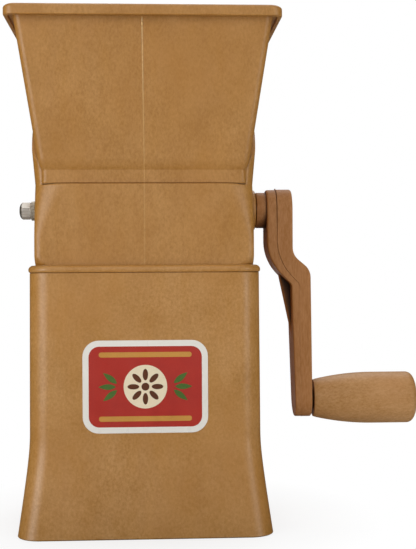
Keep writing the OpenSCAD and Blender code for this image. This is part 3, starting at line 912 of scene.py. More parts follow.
def collecting_container():
    """Beaker with a hollow flared foot, a rolled lip and the ribs that carry the housing."""
    floor_under = FLOOR_LEVEL - FLOOR_THICKNESS
    skirt_top = floor_under - FLOOR_FILLET
    skirt_corner = CONTAINER_CORNER - CONTAINER_WALL
    skirt_heights = [skirt_top * k / 12 for k in range(12, 0, -1)]
    roof = foot_reach(skirt_top) - CONTAINER_WALL - FLOOR_FILLET
    rings = [
        outside_ring(roof + c, skirt_top + s, skirt_corner - FLOOR_FILLET + c)
        for c, s in circle_arc(FLOOR_FILLET, 90, 15, 5)
    ]
    rings += [outside_ring(foot_reach(z) - CONTAINER_WALL, z, skirt_corner) for z in skirt_heights]
    spread = foot_reach(0)
    inner_edge = ((0, FOOT_INNER_EDGE), (FOOT_INNER_EDGE, 0))
    rings += [outside_ring(spread - CONTAINER_WALL + m, z, skirt_corner) for m, z in inner_edge]
    rings += [
        outside_ring(spread - FOOT_ROUND + c, FOOT_ROUND - s)
        for c, s in circle_arc(FOOT_ROUND, 90, 20, 5)
    ]
    steps = 24
    foot_heights = [FOOT_ROUND + (FOOT_HEIGHT - FOOT_ROUND) * k / steps for k in range(steps + 1)]
    rings += [outside_ring(foot_reach(z), z) for z in foot_heights]
    # Rolled lip, with a fine groove under it
    lip_under = container_rim - LIP_HEIGHT
    lip_widest = container_rim - LIP_CROWN
    crown_width = LIP_REACH + CONTAINER_WALL - LIP_INSIDE
    groove = ((0, 2.5 * LIP_GROOVE), (-0.3 * LIP_GROOVE, 0.75 * LIP_GROOVE), (-LIP_GROOVE, 0))
    rings += [outside_ring(margin, lip_under - drop) for margin, drop in groove]
    for c, s in circle_arc(1, -84, 0, 6):
        z = lip_widest + (lip_widest - lip_under - LIP_GAP) * s
        rings.append(outside_ring(LIP_REACH * c, z, CONTAINER_CORNER + LIP_REACH * c))
    for c, s in circle_arc(1, 0, 90, 10)[1:]:
        margin = LIP_REACH + crown_width * (c - 1)
        rings.append(outside_ring(margin, lip_widest + LIP_CROWN * s, CONTAINER_CORNER + margin))
    rings += [
        inside_ring(LIP_INSIDE * (1 - s), container_rim - LIP_INSIDE * (1 - c))
        for c, s in circle_arc(1, 30, 90, 3)
    ]
    rings += [
        inside_ring(c - FLOOR_FILLET, FLOOR_LEVEL + FLOOR_FILLET - s)
        for c, s in circle_arc(FLOOR_FILLET, 0, 88, 6)
    ]
    container = made("collecting_container_shell", loft(rings))
    weld = CONTAINER_WALL / 2
    half_reach = (STOP_RIB_REACH + weld) / 2
    half_thick = STOP_RIB_THICKNESS / 2
    ribs = []
    for side in (-1, 1):
        ribs.append(stop_rib(side * (cavity_x + weld - half_reach), 0, half_reach, half_thick))
        for x in (-STOP_RIB_SPACING / 2, STOP_RIB_SPACING / 2):
            ribs.append(stop_rib(x, side * (cavity_y + weld - half_reach), half_thick, half_reach))
    combine(container, "UNION", ribs)
    dressed(container, container_plastic, "container", "collecting_container")


# Front label: a white vinyl sticker with a printed field and a rosette between two sprigs

def rounded_outline(width, height, corner):
    """Rounded rectangle about its middle."""
    ring = rounded_ring(width / 2, height / 2, corner, 0, 8, 2)
    return [(p.x, p.y) for p in ring]


def turned_outline(outline, x, z, turn):
    """An outline turned anticlockwise about its origin and moved to a place."""
    a = math.radians(turn)
    return [
        (x + u * math.cos(a) - v * math.sin(a), z + u * math.sin(a) + v * math.cos(a))
        for u, v in outline
    ]


def oval_outline(half_x, half_z):
    """Oval about its middle."""
    return [(half_x * c, half_z * s) for c, s in circle_arc(1, 0, 360, 40)[:-1]]


def leaf_outline(start, length, width):
    """Pointed leaf along X, from a distance before its stalk end."""
    steps = 12
    upper = [
        (start + length * k / steps, width / 2 * math.sin(math.pi * (k / steps) ** LEAF_CURVE))
        for k in range(steps + 1)
    ]
    return upper + [(u, -v) for u, v in reversed(upper[1:-1])]


def front_label():
    """Vinyl film with its prints, each a thin layer that sinks a hair into the one below."""
    middle = (label_low + label_high) / 2
    width = label_high.x - label_low.x
    height = label_high.z - label_low.z
    film = label_high.y - label_low.y - 3 * PRINT_LAYER
    level = [label_high.y - film - PRINT_LAYER * k for k in range(4)]
    field = rounded_outline(width - 2 * LABEL_BORDER, height - 2 * LABEL_BORDER, FIELD_CORNER)
    band = rounded_outline(width - 2 * BAND_MARGIN, BAND_HEIGHT, BAND_CORNER)
    band_rise = height / 2 - LABEL_BORDER - BAND_DROP
    bands = [turned_outline(band, 0, side * band_rise, 0) for side in (-1, 1)]
    petal = [(u + PETAL_REACH, v) for u, v in oval_outline(PETAL_LENGTH / 2, PETAL_WIDTH / 2)]
    petals = [turned_outline(petal, 0, 0, 360 * k / PETAL_COUNT) for k in range(PETAL_COUNT)]
    leaf = leaf_outline(LEAF_START, LEAF_LENGTH, LEAF_WIDTH)
    leaves = [
        turned_outline(leaf, side * SPRIG_REACH, 0, lean if side > 0 else 180 - lean)
        for side in (-1, 1)
        for lean in (-LEAF_SPREAD, 0, LEAF_SPREAD)
    ]
    prints = [
        ("label_field", ink_red, 1, [field]),
        ("label_bands", ink_ochre, 2, bands),
        ("label_disc", ink_cream, 2, [oval_outline(DISC_RADIUS, DISC_RADIUS)]),
        ("label_rosette", ink_brown, 3, [oval_outline(EYE_RADIUS, EYE_RADIUS)] + petals),
        ("label_leaves", ink_green, 2, leaves),
    ]
    edge = rounded_outline(width, height, LABEL_CORNER)
    film_piece = made("label_film", plate(edge, middle, label_high.y, level[0]))
    dressed(film_piece, vinyl_white, "container", "front_label")
    for name, ink, step, outlines in prints:
        back = level[step - 1] + PRINT_SINK
        shapes = [plate(outline, middle, back, level[step]) for outline in outlines]
        dressed(made(name, together(shapes)), ink, "container")


# Hopper housing

def corner_inset(y, half_y, corner):
    """How far a rounded rectangle's side has drawn in at a distance from its middle."""
    corner_x, corner_y = corner_radii(corner)
    over = clamped((abs(y) - half_y) / corner_y + 1)
    return corner_x * (1 - math.sqrt(1 - over ** 2))


def hopper_section(z):
    """Half width, half depth and corner of the neck and hopper, with the brow between them."""
    share = max(0.0, z - neck_top) / hopper_rise
    base_x, base_y = neck_x + SIDE_BROW, neck_y + BROW_DEPTH
    drawn_in = (1 - clamped((z - neck_top) / BROW_HEIGHT)) ** 2
    return (
        base_x + (hopper_x - base_x) * share - SIDE_BROW * drawn_in,
        base_y + (hopper_y - base_y) * share - BROW_DEPTH * drawn_in,
        HOPPER_CORNER + (NECK_CORNER - HOPPER_CORNER) * drawn_in,
    )


def waist_round(z):
    """Corner radii of the waist: sharp above the container, a wide bevel at the ledge."""
    up = max(0.0, 1 - max(0.0, ledge_level - z) / WAIST_TAPER) ** TAPER_CURVE
    return tuple(low + (high - low) * up for low, high in zip(WAIST_CORNER, WAIST_TOP_CORNER))


def rim_section(margin, corner):
    """Half width, half depth and corner radius of the rim at a margin beyond the hopper."""
    return hopper_x + margin, hopper_y + margin, corner


def waist_levels():
    """Sections of the waist, which is rounder where it stands in the container."""
    def seated(margin):
        return waist_x + margin, waist_y + margin, waist_corner + margin

    levels = [(seated(-BROKEN_EDGE), stop_level), (seated(0), stop_level + BROKEN_EDGE)]
    levels += [(seated(0), container_rim + lift) for lift in (-TUCK_LEAD, TUCK_START)]
    for share in TUCK_SHARES:
        drawn = share ** TUCK_CURVE
        corner = tuple(waist_corner + (sharp - waist_corner) * drawn for sharp in WAIST_CORNER)
        levels.append(((waist_x, waist_y, corner), container_rim + TUCK_START + TUCK_RISE * share))
    taper_start = ledge_level - WAIST_TAPER
    taper_end = ledge_level - LEDGE_ROUND
    heights = [taper_start + (taper_end - taper_start) * k / 8 for k in range(8)]
    levels += [((waist_x, waist_y, waist_round(z)), z) for z in heights]
    levels += [
        ((waist_x + c - LEDGE_ROUND, waist_y + c - LEDGE_ROUND, WAIST_TOP_CORNER), taper_end + s)
        for c, s in circle_arc(LEDGE_ROUND, 0, 90, 6)
    ]
    return levels


def neck_levels():
    """Sections of the neck, with a fine groove and roll at its foot, and of the hopper's wall."""
    levels = [((neck_x + m, neck_y + m, NECK_CORNER), ledge_level + lift) for m, lift in NECK_ROLL]
    levels += [(hopper_section(neck_top), neck_top - lift) for lift in NECK_CRISP]
    brow_lifts = [1 - c for c, s in circle_arc(1, 9, 90, 9)]
    brow_heights = [neck_top + BROW_HEIGHT * lift for lift in brow_lifts]
    wall_start = neck_top + BROW_HEIGHT
    wall_end = rim_under - 2 * CHANNEL_ROUND
    wall_heights = [wall_start + (wall_end - wall_start) * k / 8 for k in range(1, 9)]
    levels += [(hopper_section(z), z) for z in brow_heights + wall_heights]
    return levels


def rim_levels():
    """Sections of the rim: the channel under it, its lower edge and its crown."""
    roof = rim_under + RIM_CHANNEL
    edge = RIM_EDGE
    lip_in = RIM_REACH - RIM_LIP
    lip_corner = RIM_CORNER - RIM_LIP / 2
    levels = [
        (hopper_section(rim_under), rim_under),
        (hopper_section(roof - CHANNEL_ROUND), roof - CHANNEL_ROUND),
        (rim_section(CHANNEL_ROOT, HOPPER_CORNER), roof),
        (rim_section(lip_in, lip_corner), roof),
        (rim_section(lip_in, lip_corner), rim_under + edge),
        (rim_section(lip_in + edge / 2, lip_corner), rim_under),
        (rim_section(RIM_REACH - edge, RIM_CORNER), rim_under),
        (rim_section(RIM_REACH - edge * 0.3, RIM_CORNER), rim_under + edge * 0.3),
        (rim_section(RIM_REACH, RIM_CORNER), rim_under + edge),
    ]
    for c, s in circle_arc(1, 0, 90, 8):
        drawn_in = RIM_ROUND * (1 - c)
        half_x = housing_high.x - RIM_CROWN * (1 - c)
        half_y = housing_high.y - drawn_in
        levels.append(((half_x, half_y, RIM_CORNER - drawn_in), rim_top - RIM_ROUND * (1 - s)))
    return levels


def housing_levels():
    """Sections of the housing's outside from its foot to its rim, with their heights."""
    return waist_levels() + neck_levels() + rim_levels()


def housing_void():
    """Inside of the housing: chamber, throat and hopper mouth with a broken edge."""
    shoulder = ledge_level - HOUSING_WALL
    throat = (neck_x - HOUSING_WALL, neck_y - HOUSING_WALL, THROAT_CORNER)
    rings = [
        rounded_ring(chamber_x, chamber_y, chamber_corner, stop_level - CUT_OVER),
        rounded_ring(chamber_x, chamber_y, chamber_corner, shoulder),
        rounded_ring(*throat, shoulder),
        rounded_ring(*throat, neck_top),
    ]
    edge = MOUTH_EDGE
    mouth = ((-edge, 0), (-edge * 0.3, edge * 0.3), (0, edge), (CUT_OVER, edge + CUT_OVER))
    for lift, margin in mouth:
        z = rim_top + lift
        half_x, half_y = hopper_section(z)[:2]
        inset = margin - HOUSING_WALL
        rings.append(rounded_ring(half_x + inset, half_y + inset, THROAT_CORNER + margin, z))
    return loft(rings)


def bearing_cheek():
    """Round-topped cheek on the crank's side, with a fine edge and a tight fillet."""
    edge = CHEEK_EDGE
    rings, turns = 14, 90
    # Closer together towards the waist's bevelled corners
    shares = [1 - (1 - k / rings) ** CHEEK_RING_CURVE for k in range(rings + 1)]
    face_radii = [(cheek_radius - edge) * share for share in shares]
    root_x = (chamber_x + waist_x) / 2

    def at(radius, angle):
        a = math.radians(angle)
        kept = min(1.0, (neck_y - CHEEK_SETBACK) / max(0.001, cheek_radius * abs(math.cos(a))))
        return -kept * radius * math.cos(a), shaft_level + kept * radius * math.sin(a)

    def face_x(y, z):
        return waist_x + cheek_slope * (z - ledge_level) - corner_inset(y, waist_y, waist_round(z))

    def wall_place(y, z):
        half_x, half_y, corner = hopper_section(z)
        return half_x - corner_inset(y, half_y, corner)

    rows = []
    for step in range(turns + 1):
        angle = 180 * step / turns
        row = []
        for radius in face_radii:
            y, z = at(radius, angle)
            row.append(Vector((face_x(y, z), y, z)))
        for c, s in circle_arc(edge, 90, 0, 5)[1:]:
            y, z = at(cheek_radius - edge + c, angle)
            row.append(Vector((face_x(y, z) - edge + s, y, z)))
        y, z = at(cheek_radius, angle)
        share = clamped((z - ledge_level) / (2 * NECK_RISE))
        flare = CHEEK_LEAST_FILLET + CHEEK_FILLET * share
        outer = face_x(y, z) - edge
        inner = wall_place(y, z) + flare
        row += [Vector((outer + (inner - outer) * k / 4, y, z)) for k in range(1, 4)]
        for c, s in circle_arc(flare, 0, 90, 4):
            y, z = at(cheek_radius + flare - c, angle)
            row.append(Vector((wall_place(y, z) + flare - s, y, z)))
        y, z = at(cheek_radius + flare + CHEEK_SINK / 3, angle)
        row.append(Vector((wall_place(y, z) - CHEEK_SINK, y, z)))
        y, z = at(cheek_radius - CHEEK_ROOT, angle)
        row.append(Vector((wall_place(y, z) - HOUSING_WALL / 2, y, z)))
        row.append(Vector((root_x, *at(0, angle))))
        rows.append(row)
    points = [p for row in rows for p in row]
    width = len(rows[0])
    last = turns * width
    foot = tuple(range(width)) + tuple(last + j for j in range(width - 2, 0, -1))
    return points, joined_rows(rows) + [foot]


def bearing_boss(end, radius):
    """Boss on a cheek that holds a bush, with a fillet at its root and a rounded edge."""
    root = [(x, radius + BOSS_FILLET) for x in (chamber_x + HOUSING_WALL / 2, waist_x - BOSS_SINK)]
    flare = [
        (waist_x + BOSS_FILLET - c, radius + BOSS_FILLET - s)
        for c, s in circle_arc(BOSS_FILLET, 0, 90, 5)
    ]
    edge = [
        (end - BOSS_ROUND + s, radius - BOSS_ROUND + c)
        for c, s in circle_arc(BOSS_ROUND, 0, 90, 6)
    ]
    return turned(root + flare + edge, shaft_level)


def parting_ridge(front):
    """Fine moulding line down the middle of the front or the rear, proudest below the rim."""
    half = RIDGE_HALF_WIDTH
    low, high = stop_level + 2 * BROKEN_EDGE, rim_under - BROKEN_EDGE
    rings = []
    for section, z in housing_levels():
        if low <= z <= high:
            share = max(0.0, (z - neck_top) / hopper_rise)
            height = RIDGE_LOW + (RIDGE_HIGH - RIDGE_LOW) * share
            side = [(-half, -RIDGE_SINK), (-half / 2, 0.6 * height)]
            across = side + [(0, height)] + [(-x, out) for x, out in reversed(side)]
            middle = RIDGE_TOP_X * share
            rings.append([
                Vector((middle + front * x, front * (section[1] + out), z))
                for x, out in across
            ])
    return loft(rings)


def gate_nib(front):
    """Small nib on the moulding line, a little below the rim."""
    z = rim_under - NIB_DROP
    half_y = hopper_section(z)[1]
    rings = [
        [
            Vector((RIDGE_TOP_X + share * c, front * (half_y + out), z + NIB_STRETCH * share * s))
            for c, s in circle_arc(NIB_HALF_WIDTH, 0, 360, 16)[:-1]
        ]
        for share, out in NIB_PROFILE
    ]
    return loft(rings)


def screw_post(x, side):
    """Post inside the waist for a comb screw, its web to the wall and its hole."""
    screw_y = -comb_low.y - SCREW_HEAD / 2
    top = comb_high.z + SCREW_GRIP + 2 * CUT_OVER

    def upright(radius, low, high):
        circle = circle_arc(radius, 0, 360, 32)[:-1]
        return loft([[Vector((x + c, side * screw_y + s, z)) for c, s in circle] for z in (low, high)])

    reach = chamber_y + HOUSING_WALL / 2
    middle = Vector((x, side * (screw_y + reach) / 2, 0))
    half_web = (reach - screw_y) / 2
    web = [
        [p + middle for p in rounded_ring(SCREW_BOSS / 4, half_web, SCREW_WEB_CORNER, z, 2, 2)]
        for z in (comb_high.z, top)
    ]
    hole = upright(SCREW_DIAMETER / 2 + SLIP, comb_high.z - CUT_OVER, top + CUT_OVER)
    return upright(SCREW_BOSS / 2, comb_high.z, top), loft(web), hole


def sleeve_radius(low, high):
    """Outside radius of a bush's sleeve, from the box of its flange."""
    return (high.z - low.z) / 2 - BUSH_FLANGE


def hopper_housing():
    """One moulding: hopper, neck, waist, cheeks, bosses and the posts inside."""
    rings = [rounded_ring(*section, z) for section, z in housing_levels()]
    housing = made("hopper_housing_shell", loft(rings))
    drive_bore = sleeve_radius(drive_bush_low, drive_bush_high) + SLIP
    idle_bore = sleeve_radius(idle_bush_low, idle_bush_high) + SLIP
    drive_end, idle_end = drive_bush_high.x, -idle_bush_low.x
    cheek = bearing_cheek()
    combine(housing, "UNION", [
        cheek,
        mirrored(cheek),
        bearing_boss(drive_end, drive_bore + BOSS_WALL),
        mirrored(bearing_boss(idle_end, idle_bore + BOSS_WALL)),
        parting_ridge(-1),
        parting_ridge(1),
        gate_nib(-1),
    ])
    combine(housing, "DIFFERENCE", [
        housing_void(),
        turned([(-chamber_x, barrel_radius), (chamber_x, barrel_radius)], shaft_level, steps=120),
        turned([(chamber_x - CUT_OVER, drive_bore), (drive_end + CUT_OVER, drive_bore)], shaft_level),
        turned([(-idle_end - CUT_OVER, idle_bore), (CUT_OVER - chamber_x, idle_bore)], shaft_level),
    ])
    posts = [screw_post(x, side) for x in (-SCREW_SPACING / 2, SCREW_SPACING / 2) for side in (-1, 1)]
    combine(housing, "UNION", [shape for post, web, hole in posts for shape in (post, web)])
    combine(housing, "DIFFERENCE", [hole for post, web, hole in posts])
    dressed(housing, housing_plastic, "housing", "hopper_housing")


# Cap nut and its washer

def cap_nut():
    """Hexagon nut with chamfered ends and a low dome, bored for the shaft's stud."""
    corner = NUT_FLATS / math.sqrt(3)
    hexagon_end = nut_end + NUT_DOME
    levels = [
        (nut_high.x, NUT_FLATS / 2 - NUT_SEAT_INSET),
        (nut_high.x - NUT_SEAT_CHAMFER, corner),
        (hexagon_end + NUT_CHAMFER, corner),
        (hexagon_end, NUT_FLATS / 2),
    ]
    dome_foot = NUT_FLATS / 2 - NUT_DOME_INSET
    levels += [(hexagon_end - NUT_DOME * s, dome_foot * c) for c, s in circle_arc(1, 8, 84, 8)]
    steps = 72
    rings = []
    for x, limit in levels:
        ring = []
        for k in range(steps):
            turn = 360 * k / steps
            flat = NUT_FLATS / 2 / math.cos(math.radians((turn + 30) % 60 - 30))
            a = math.radians(turn + NUT_TURN + 30)
            radius = min(flat, limit)
            ring.append(Vector((x, radius * math.cos(a), shaft_level + radius * math.sin(a))))
        rings.append(ring)
    nut = made("cap_nut_turned", loft(rings))
    bore = STUD / 2 + SLIP
    combine(nut, "DIFFERENCE", [
        turned([(shaft_low.x - SLIP, bore), (nut_high.x + CUT_OVER, bore)], shaft_level, steps=40)
    ])
    dressed(nut, nut_steel, "rotor", "cap_nut", crease=24)


def nut_washer():
    """Thick plain washer with broken edges."""
    radius = (washer_high.z - washer_low.z) / 2
    bore = STUD / 2 + SLIP
    edge = WASHER_EDGE
    profile = [(washer_low.x, bore), (washer_low.x, radius - edge), (washer_low.x + edge, radius)]
    profile += [(washer_high.x - edge, radius), (washer_high.x, radius - edge), (washer_high.x, bore)]
    washer = made("nut_washer_turned", turned(profile, shaft_level, closed=True))
    dressed(washer, washer_steel, "rotor", "nut_washer")


# Crank arm

def s_bend(d, start, offset, near_radius, far_radius, angle):
    """Sideways offset, at a distance down the arm, of a face that bends out and back again."""
    a = math.radians(angle)
    near_end = start + near_radius * math.sin(a)
    slant = (offset - (near_radius + far_radius) * (1 - math.cos(a))) / math.tan(a)
    far_start = near_end + slant
    end = far_start + far_radius * math.sin(a)
    if d <= start:
        return 0.0
    if d < near_end:
        return near_radius - math.sqrt(near_radius ** 2 - (d - start) ** 2)
    if d < far_start:
        return near_radius * (1 - math.cos(a)) + (d - near_end) * math.tan(a)
    if d < end:
        return offset - far_radius + math.sqrt(far_radius ** 2 - (end - d) ** 2)
    return offset


def arm_inner(d):
    """Place along X of the arm's inner face at a distance below the shaft."""
    low = crank_throw + arm_end_radius
    share = max(0.0, d - ARM_TAPER_START) / (low - ARM_TAPER_START)
    taper = (arm_end_in - arm_in) * share
    bend = s_bend(d, INNER_BEND_START, arm_in - hub_in, INNER_BEND, INNER_FILLET, INNER_ANGLE)
    return hub_in + bend + taper


def arm_outer(d):
    """Place along X of the arm's outer face at a distance below the shaft."""
    down = (d - OUTER_BEND_START) / (crank_throw - OUTER_BEND_START)
    lean = ARM_LEAN * clamped(down)
    offset = arm_out - hub_out - ARM_LEAN
    bend = s_bend(d, OUTER_BEND_START, offset, OUTER_BEND, OUTER_BEND, OUTER_ANGLE)
    return hub_out + bend + lean


def arm_edge():
    """Front edge of the arm along the shaft: Y, distance below the shaft, outward normal."""
    turn = math.degrees(math.asin((hub_radius - arm_end_radius) / crank_throw))
    edge = []
    for c, s in circle_arc(1, 90, -turn, 24):
        edge.append((-hub_radius * c, -hub_radius * s, -c, -s))
    c, s = math.cos(math.radians(turn)), math.sin(math.radians(turn))
    start, end = hub_radius * s, crank_throw + arm_end_radius * s
    straight = 84
    for k in range(1, straight):
        d = start + (end - start) * k / straight
        radius = hub_radius + (arm_end_radius - hub_radius) * k / straight
        edge.append((-radius * c, d, -c, s))
    for c, s in circle_arc(1, -turn, -90, 20):
        edge.append((-arm_end_radius * c, crank_throw - arm_end_radius * s, -c, -s))
    return edge


def arm_shell():
    """Arm with rounded edges and a stepped parting line along its narrow sides."""
    def moved_in(edge, inset):
        y, d, normal_y, normal_d = edge
        return y - inset * normal_y, d - inset * normal_d

    arcs = 6
    rows = []
    for index, edge in enumerate(arm_edge()):
        d = edge[1]
        down = clamped((d - STRAIGHT_START) / STRAIGHT_RUN)
        fade = 1 - HUB_FADE * clamped(d / PARTING_FADE_RUN) - ARM_FADE * down
        step, ridge = PARTING_STEP * fade, PARTING_RIDGE * fade
        groove = -PARTING_NIB if index < 2 else PARTING_GROOVE * fade
        rounding = HUB_ROUND + (ARM_END_ROUND - HUB_ROUND) * down
        face_y, face_d = moved_in(edge, rounding)
        row = [(arm_inner(face_d), face_y * k / 3, face_d) for k in range(3)]
        for c, s in circle_arc(rounding, 180, 90, arcs):
            y, below = moved_in(edge, step + (rounding - s) * (1 - step / rounding))
            row.append((arm_inner(below) + rounding + c, y, below))
        lead = arm_inner(d) + PARTING_PLACE - PARTING_SHIFT * down
        side = [
            ((arm_inner(d) + rounding + lead) / 2, step),
            (lead - PARTING_HALF_WIDTH, step),
            (lead, groove),
            (lead + PARTING_HALF_WIDTH, -ridge),
            (lead + PARTING_TAIL, 0.0),
            ((lead + arm_outer(d) - rounding) / 2, 0.0),
        ]
        row += [(x, *moved_in(edge, inset)) for x, inset in side]
        for c, s in circle_arc(rounding, 90, 0, arcs):
            y, below = moved_in(edge, rounding - s)
            row.append((arm_outer(below) - rounding + c, y, below))
        row += [(arm_outer(face_d), face_y * k / 3, face_d) for k in (2, 1, 0)]
        rows.append([Vector((x, y, shaft_level - below)) for x, y, below in row])
    faces = joined_rows(rows)
    front = [p for row in rows for p in row]
    back = [Vector((p.x, -p.y, p.z)) for p in front]
    return together([(front, faces), (back, [tuple(reversed(face)) for face in faces])])


def bend_rib():
    """Rib that fills the hollow behind the bend, with a rounded free edge."""
    a = math.radians(BEND_RIB_ANGLE)
    start = INNER_BEND_START + INNER_BEND * math.sin(a) - BROKEN_EDGE
    edge_in = hub_in + INNER_BEND * (1 - math.cos(a))
    half = BEND_RIB_THICKNESS / 2
    root = arm_end_in + BROKEN_EDGE
    rings = []
    steps = 16
    for k in range(steps + 1):
        d = start + (BEND_RIB_END - start) * k / steps
        x = edge_in + (arm_end_in - edge_in) * k / steps
        nose = [(x + BEND_RIB_NOSE * (1 - c), half * s) for c, s in circle_arc(1, -90, 90, 8)]
        outline = nose + [(root, half), (root, -half)]
        rings.append([Vector((px, py, shaft_level - d)) for px, py in outline])
    return loft(rings)


def square_bar(start, end, side):
    """Square bar along the shaft's line."""
    half = side / 2
    corners = [(-half, -half), (half, -half), (half, half), (-half, half)]
    return loft([[Vector((x, y, shaft_level + z)) for y, z in corners] for x in (start, end)])


def crank_arm():
    """Arm with its collar, pad and rib, holed for the shaft's square end and the knob's pin."""
    arm = made("crank_arm_moulding", arm_shell())
    collar, pad = COLLAR_DIAMETER / 2, PAD_DIAMETER / 2
    collar_profile = [
        (collar_face + COLLAR_EDGE + c, collar - COLLAR_EDGE + s)
        for c, s in circle_arc(COLLAR_EDGE, 180, 90, 4)
    ]
    pad_profile = [
        (arm_out - BROKEN_EDGE, pad),
        (crank_high.x - PAD_EDGE, pad),
        (crank_high.x, pad - PAD_EDGE),
    ]
    combine(arm, "UNION", [
        turned(collar_profile + [(hub_in + BROKEN_EDGE, collar)], shaft_level),
        turned(pad_profile, knob_level),
        bend_rib(),
    ])
    thread = PIN_THREAD / 2 + SLIP
    pin_hole = [(pin_low.x - END_PLAY, thread), (crank_high.x + CUT_OVER, thread)]
    combine(arm, "DIFFERENCE", [
        square_bar(collar_face - CUT_OVER, shaft_high.x + END_PLAY, SQUARE_SIDE + 2 * SLIP),
        turned(pin_hole, knob_level, steps=40),
    ])
    dressed(arm, crank_plastic, "rotor", "crank_arm")


# Knob

def grip_knob():
    """Turned grip that swells from its neck to a domed barrel, recessed for the pin."""
    barrel = (knob_high.z - knob_low.z) / 2
    neck = KNOB_NECK / 2
    start, end = knob_low.x, knob_high.x - KNOB_INSET
    bore, recess = KNOB_BORE / 2, KNOB_RECESS / 2
    edge, corner = KNOB_EDGE, KNOB_CORNER
    profile = [(start + edge, bore), (start, bore + edge)]
    profile += [(start, neck - edge), (start + corner, neck - corner)]
    steps = 20
    for k in range(1, steps + 1):
        along = KNOB_SWELL * k / steps
        profile.append((start + along, barrel - (barrel - neck) * (1 - along / KNOB_SWELL) ** 2))
    for c, s in circle_arc(1, 0, 86, 14):
        drop = KNOB_DOME * (1 - s ** KNOB_DOME_CURVE)
        profile.append((end - drop, recess + (barrel - recess) * c ** KNOB_DOME_CURVE))
    profile += [(end - corner, recess + corner), (end - edge, recess)]
    profile += [(end - KNOB_RECESS_DEPTH, recess), (end - KNOB_RECESS_DEPTH, bore)]
    knob = made("grip_knob", turned(profile, knob_level, closed=True, steps=96))
    dressed(knob, knob_plastic, "knob", "knob")


collecting_container()
front_label()
hopper_housing()
cap_nut()
nut_washer()
crank_arm()
grip_knob()

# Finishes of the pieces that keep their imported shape
kept_finishes = [
    ("cutter_disc", stainless_plate, "stainless_plate"),
    ("front_comb", stainless_plate, "stainless_plate"),
    ("rear_comb", stainless_plate, "stainless_plate"),
    ("comb_screws", plated_steel, "plated_steel"),
    # The knob's washer takes the painted-shade steel
    ("knob_washer", painted_shade_steel, "plated_steel"),
    ("knob_pin", plated_steel, "plated_steel"),
    ("drive_shaft", turned_steel, "turned_steel"),
    ("spacer", bearing_nylon, "bearing_nylon"),
    ("drive_bush", bearing_nylon, "bearing_nylon"),
    ("idle_bush", bearing_nylon, "bearing_nylon"),
]
for start, finish, slot in kept_finishes:
    for name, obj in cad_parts.items():
        if name.startswith(start):
            obj.data.materials.clear()
            obj.data.materials.append(finish)


# Studio: a pale floor that melts into a white surround, soft boxes and the camera
FLOOR_RADIUS = 4000
SHADOW_REACH = (50 * MM, 110 * MM)
SHADOW_PALENESS = 0.74
BOUNCE_REACH = (60 * MM, 110 * MM)
BACKDROP_START = (50 * MM, 300 * MM)
BACKDROP_CONE = (0.992, 0.999)
CEILING_CONE = (0.86, 0.97)


def floor_finish():
    """Pale floor with the object's shadow, which melts into the white surround further out, and dark
    grey to bounce light near the object: a painted shadow.
    """
    finish, tree, shader = new_finish("studio_floor")
    shader.inputs["Roughness"].default_value = 0.9
    shader.inputs["Specular IOR Level"].default_value = 0.0
    path = node(tree, "ShaderNodeLightPath").outputs
    place = node(tree, "ShaderNodeTexCoord").outputs["Object"]
    far = node(tree, "ShaderNodeVectorMath", {0: place}, operation="LENGTH").outputs["Value"]
    depth = node(tree, "ShaderNodeSeparateXYZ", {0: place}).outputs["Y"]
    straight = span(tree, math_node(tree, "DIVIDE", depth, far), *BACKDROP_CONE)
    behind = math_node(tree, "MULTIPLY", span(tree, depth, *BACKDROP_START), straight)
    reflected = math_node(tree, "MAXIMUM", path["Is Glossy Ray"], path["Is Transmission Ray"])
    mirrored_white = math_node(tree, "MULTIPLY", reflected, behind)
    seen = math_node(tree, "MAXIMUM", path["Is Camera Ray"], mirrored_white)
    # Painted shadow: to bounce light the floor is dark grey near the object, so the container's foot
    # gets less light from below
    outer = span(tree, far, *BOUNCE_REACH)
    shadowed_bounce = blend_colour(tree, outer, srgb(96, 92, 88), srgb(236, 236, 236))
    shown = blend_colour(tree, reflected, shadowed_bounce, srgb(56, 56, 56))
    colour = blend_colour(tree, seen, shown, srgb(248, 248, 248))
    tree.links.new(colour, shader.inputs["Base Color"])
    white = node(tree, "ShaderNodeEmission", {"Color": (1, 1, 1, 1), "Strength": 1.0}).outputs[0]
    paleness = span(tree, far, *SHADOW_REACH, SHADOW_PALENESS, 1.0)
    share = math_node(tree, "MULTIPLY", paleness, seen)
    mixed = node(tree, "ShaderNodeMixShader", {0: share, 1: shader.outputs[0], 2: white}).outputs[0]
    tree.links.new(mixed, tree.nodes["Material Output"].inputs["Surface"])
    return finish


def studio_floor():
    """Round floor under the object."""
    ring = [Vector((c, s, 0)) for c, s in circle_arc(FLOOR_RADIUS, 0, 360, 64)[:-1]]
    floor = made("studio_floor", (ring, [tuple(range(len(ring)))]))
    floor.data.materials.append(floor_finish())


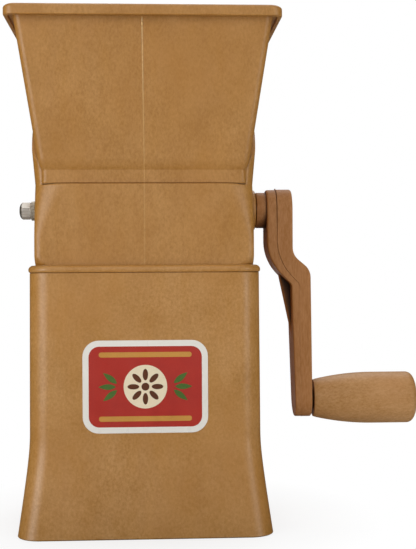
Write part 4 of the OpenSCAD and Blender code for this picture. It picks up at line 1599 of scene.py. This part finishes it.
def surround(ambient, sides, room, rear, overhead):
    """White to the camera and to what mirrors the backdrop or the ceiling; dim from the sides."""
    world = bpy.data.worlds.new("studio_surround")
    bpy.context.scene.world = world
    world.use_nodes = True
    tree = world.node_tree
    path = node(tree, "ShaderNodeLightPath").outputs
    direction = node(tree, "ShaderNodeTexCoord").outputs["Generated"]
    axes = node(tree, "ShaderNodeSeparateXYZ", {0: direction}).outputs
    aside = math_node(tree, "ABSOLUTE", axes["X"])
    light = span(tree, aside, 0.3, 0.95, ambient, sides)
    walls = span(tree, axes["Y"], -0.2, 0.4, room, rear)
    ceiling = span(tree, axes["Z"], *CEILING_CONE, 0.0, overhead)
    backdrop = span(tree, axes["Y"], *BACKDROP_CONE)
    mirrored_walls = math_node(tree, "MAXIMUM", walls, ceiling)
    mirrored_room = math_node(tree, "MAXIMUM", mirrored_walls, backdrop)
    reflected = math_node(tree, "MAXIMUM", path["Is Glossy Ray"], path["Is Transmission Ray"])
    strength = span(tree, reflected, 0.0, 1.0, light, mirrored_room)
    shown = span(tree, path["Is Camera Ray"], 0.0, 1.0, strength, 1.0)
    background = tree.nodes["Background"]
    background.inputs["Color"].default_value = (1, 1, 1, 1)
    tree.links.new(shown, background.inputs["Strength"])


def soft_box(name, place, target, width, height, watts):
    """Rectangular soft light at a place, turned to a target, in millimetres."""
    lamp = bpy.data.lights.new(name, "AREA")
    lamp.shape = "RECTANGLE"
    lamp.size, lamp.size_y = width * MM, height * MM
    lamp.energy = watts
    box = bpy.data.objects.new(name, lamp)
    bpy.context.scene.collection.objects.link(box)
    box.location = Vector(place) * MM
    box.rotation_euler = (Vector(target) - Vector(place)).to_track_quat("-Z", "Y").to_euler()


def photo_camera():
    """Camera at the photograph's place: level, a little turned to the crank, tilted a hair."""
    place = Vector((1.8, -516.2, 113.2))
    yaw, roll = math.radians(3.07), math.radians(-0.32)
    focal_px, width_px = 1100.0, 416.0
    forward = Vector((math.sin(yaw), math.cos(yaw), 0))
    right = Vector((math.cos(yaw), -math.sin(yaw), 0))
    up = right.cross(forward)
    tilted_right = math.cos(roll) * right + math.sin(roll) * up
    tilted_up = math.cos(roll) * up - math.sin(roll) * right
    data = bpy.data.cameras.new("photo_camera")
    data.sensor_fit = "HORIZONTAL"
    data.sensor_width = 36.0
    data.lens = data.sensor_width * focal_px / width_px
    data.clip_start = 0.01
    camera = bpy.data.objects.new("photo_camera", data)
    bpy.context.scene.collection.objects.link(camera)
    axes = Matrix((tilted_right, tilted_up, -forward)).transposed()
    camera.matrix_world = Matrix.Translation(place * MM) @ axes.to_4x4()
    bpy.context.scene.camera = camera


studio_floor()
surround(ambient=0.81, sides=0.02, room=0.07, rear=0.03, overhead=1.2)
middle = (0, 0, 125)
soft_box("left_box", (-557, -502, 150), middle, width=420, height=800, watts=2.8)
soft_box("right_box", (560, -497, 150), middle, width=240, height=760, watts=1.15)
soft_box("front_box", (-110, -900, 760), middle, width=700, height=400, watts=0.6)
soft_box("rear_box", (120, 620, 880), middle, width=700, height=500, watts=3.0)
photo_camera()
bpy.context.scene.view_settings.view_transform = "Standard"
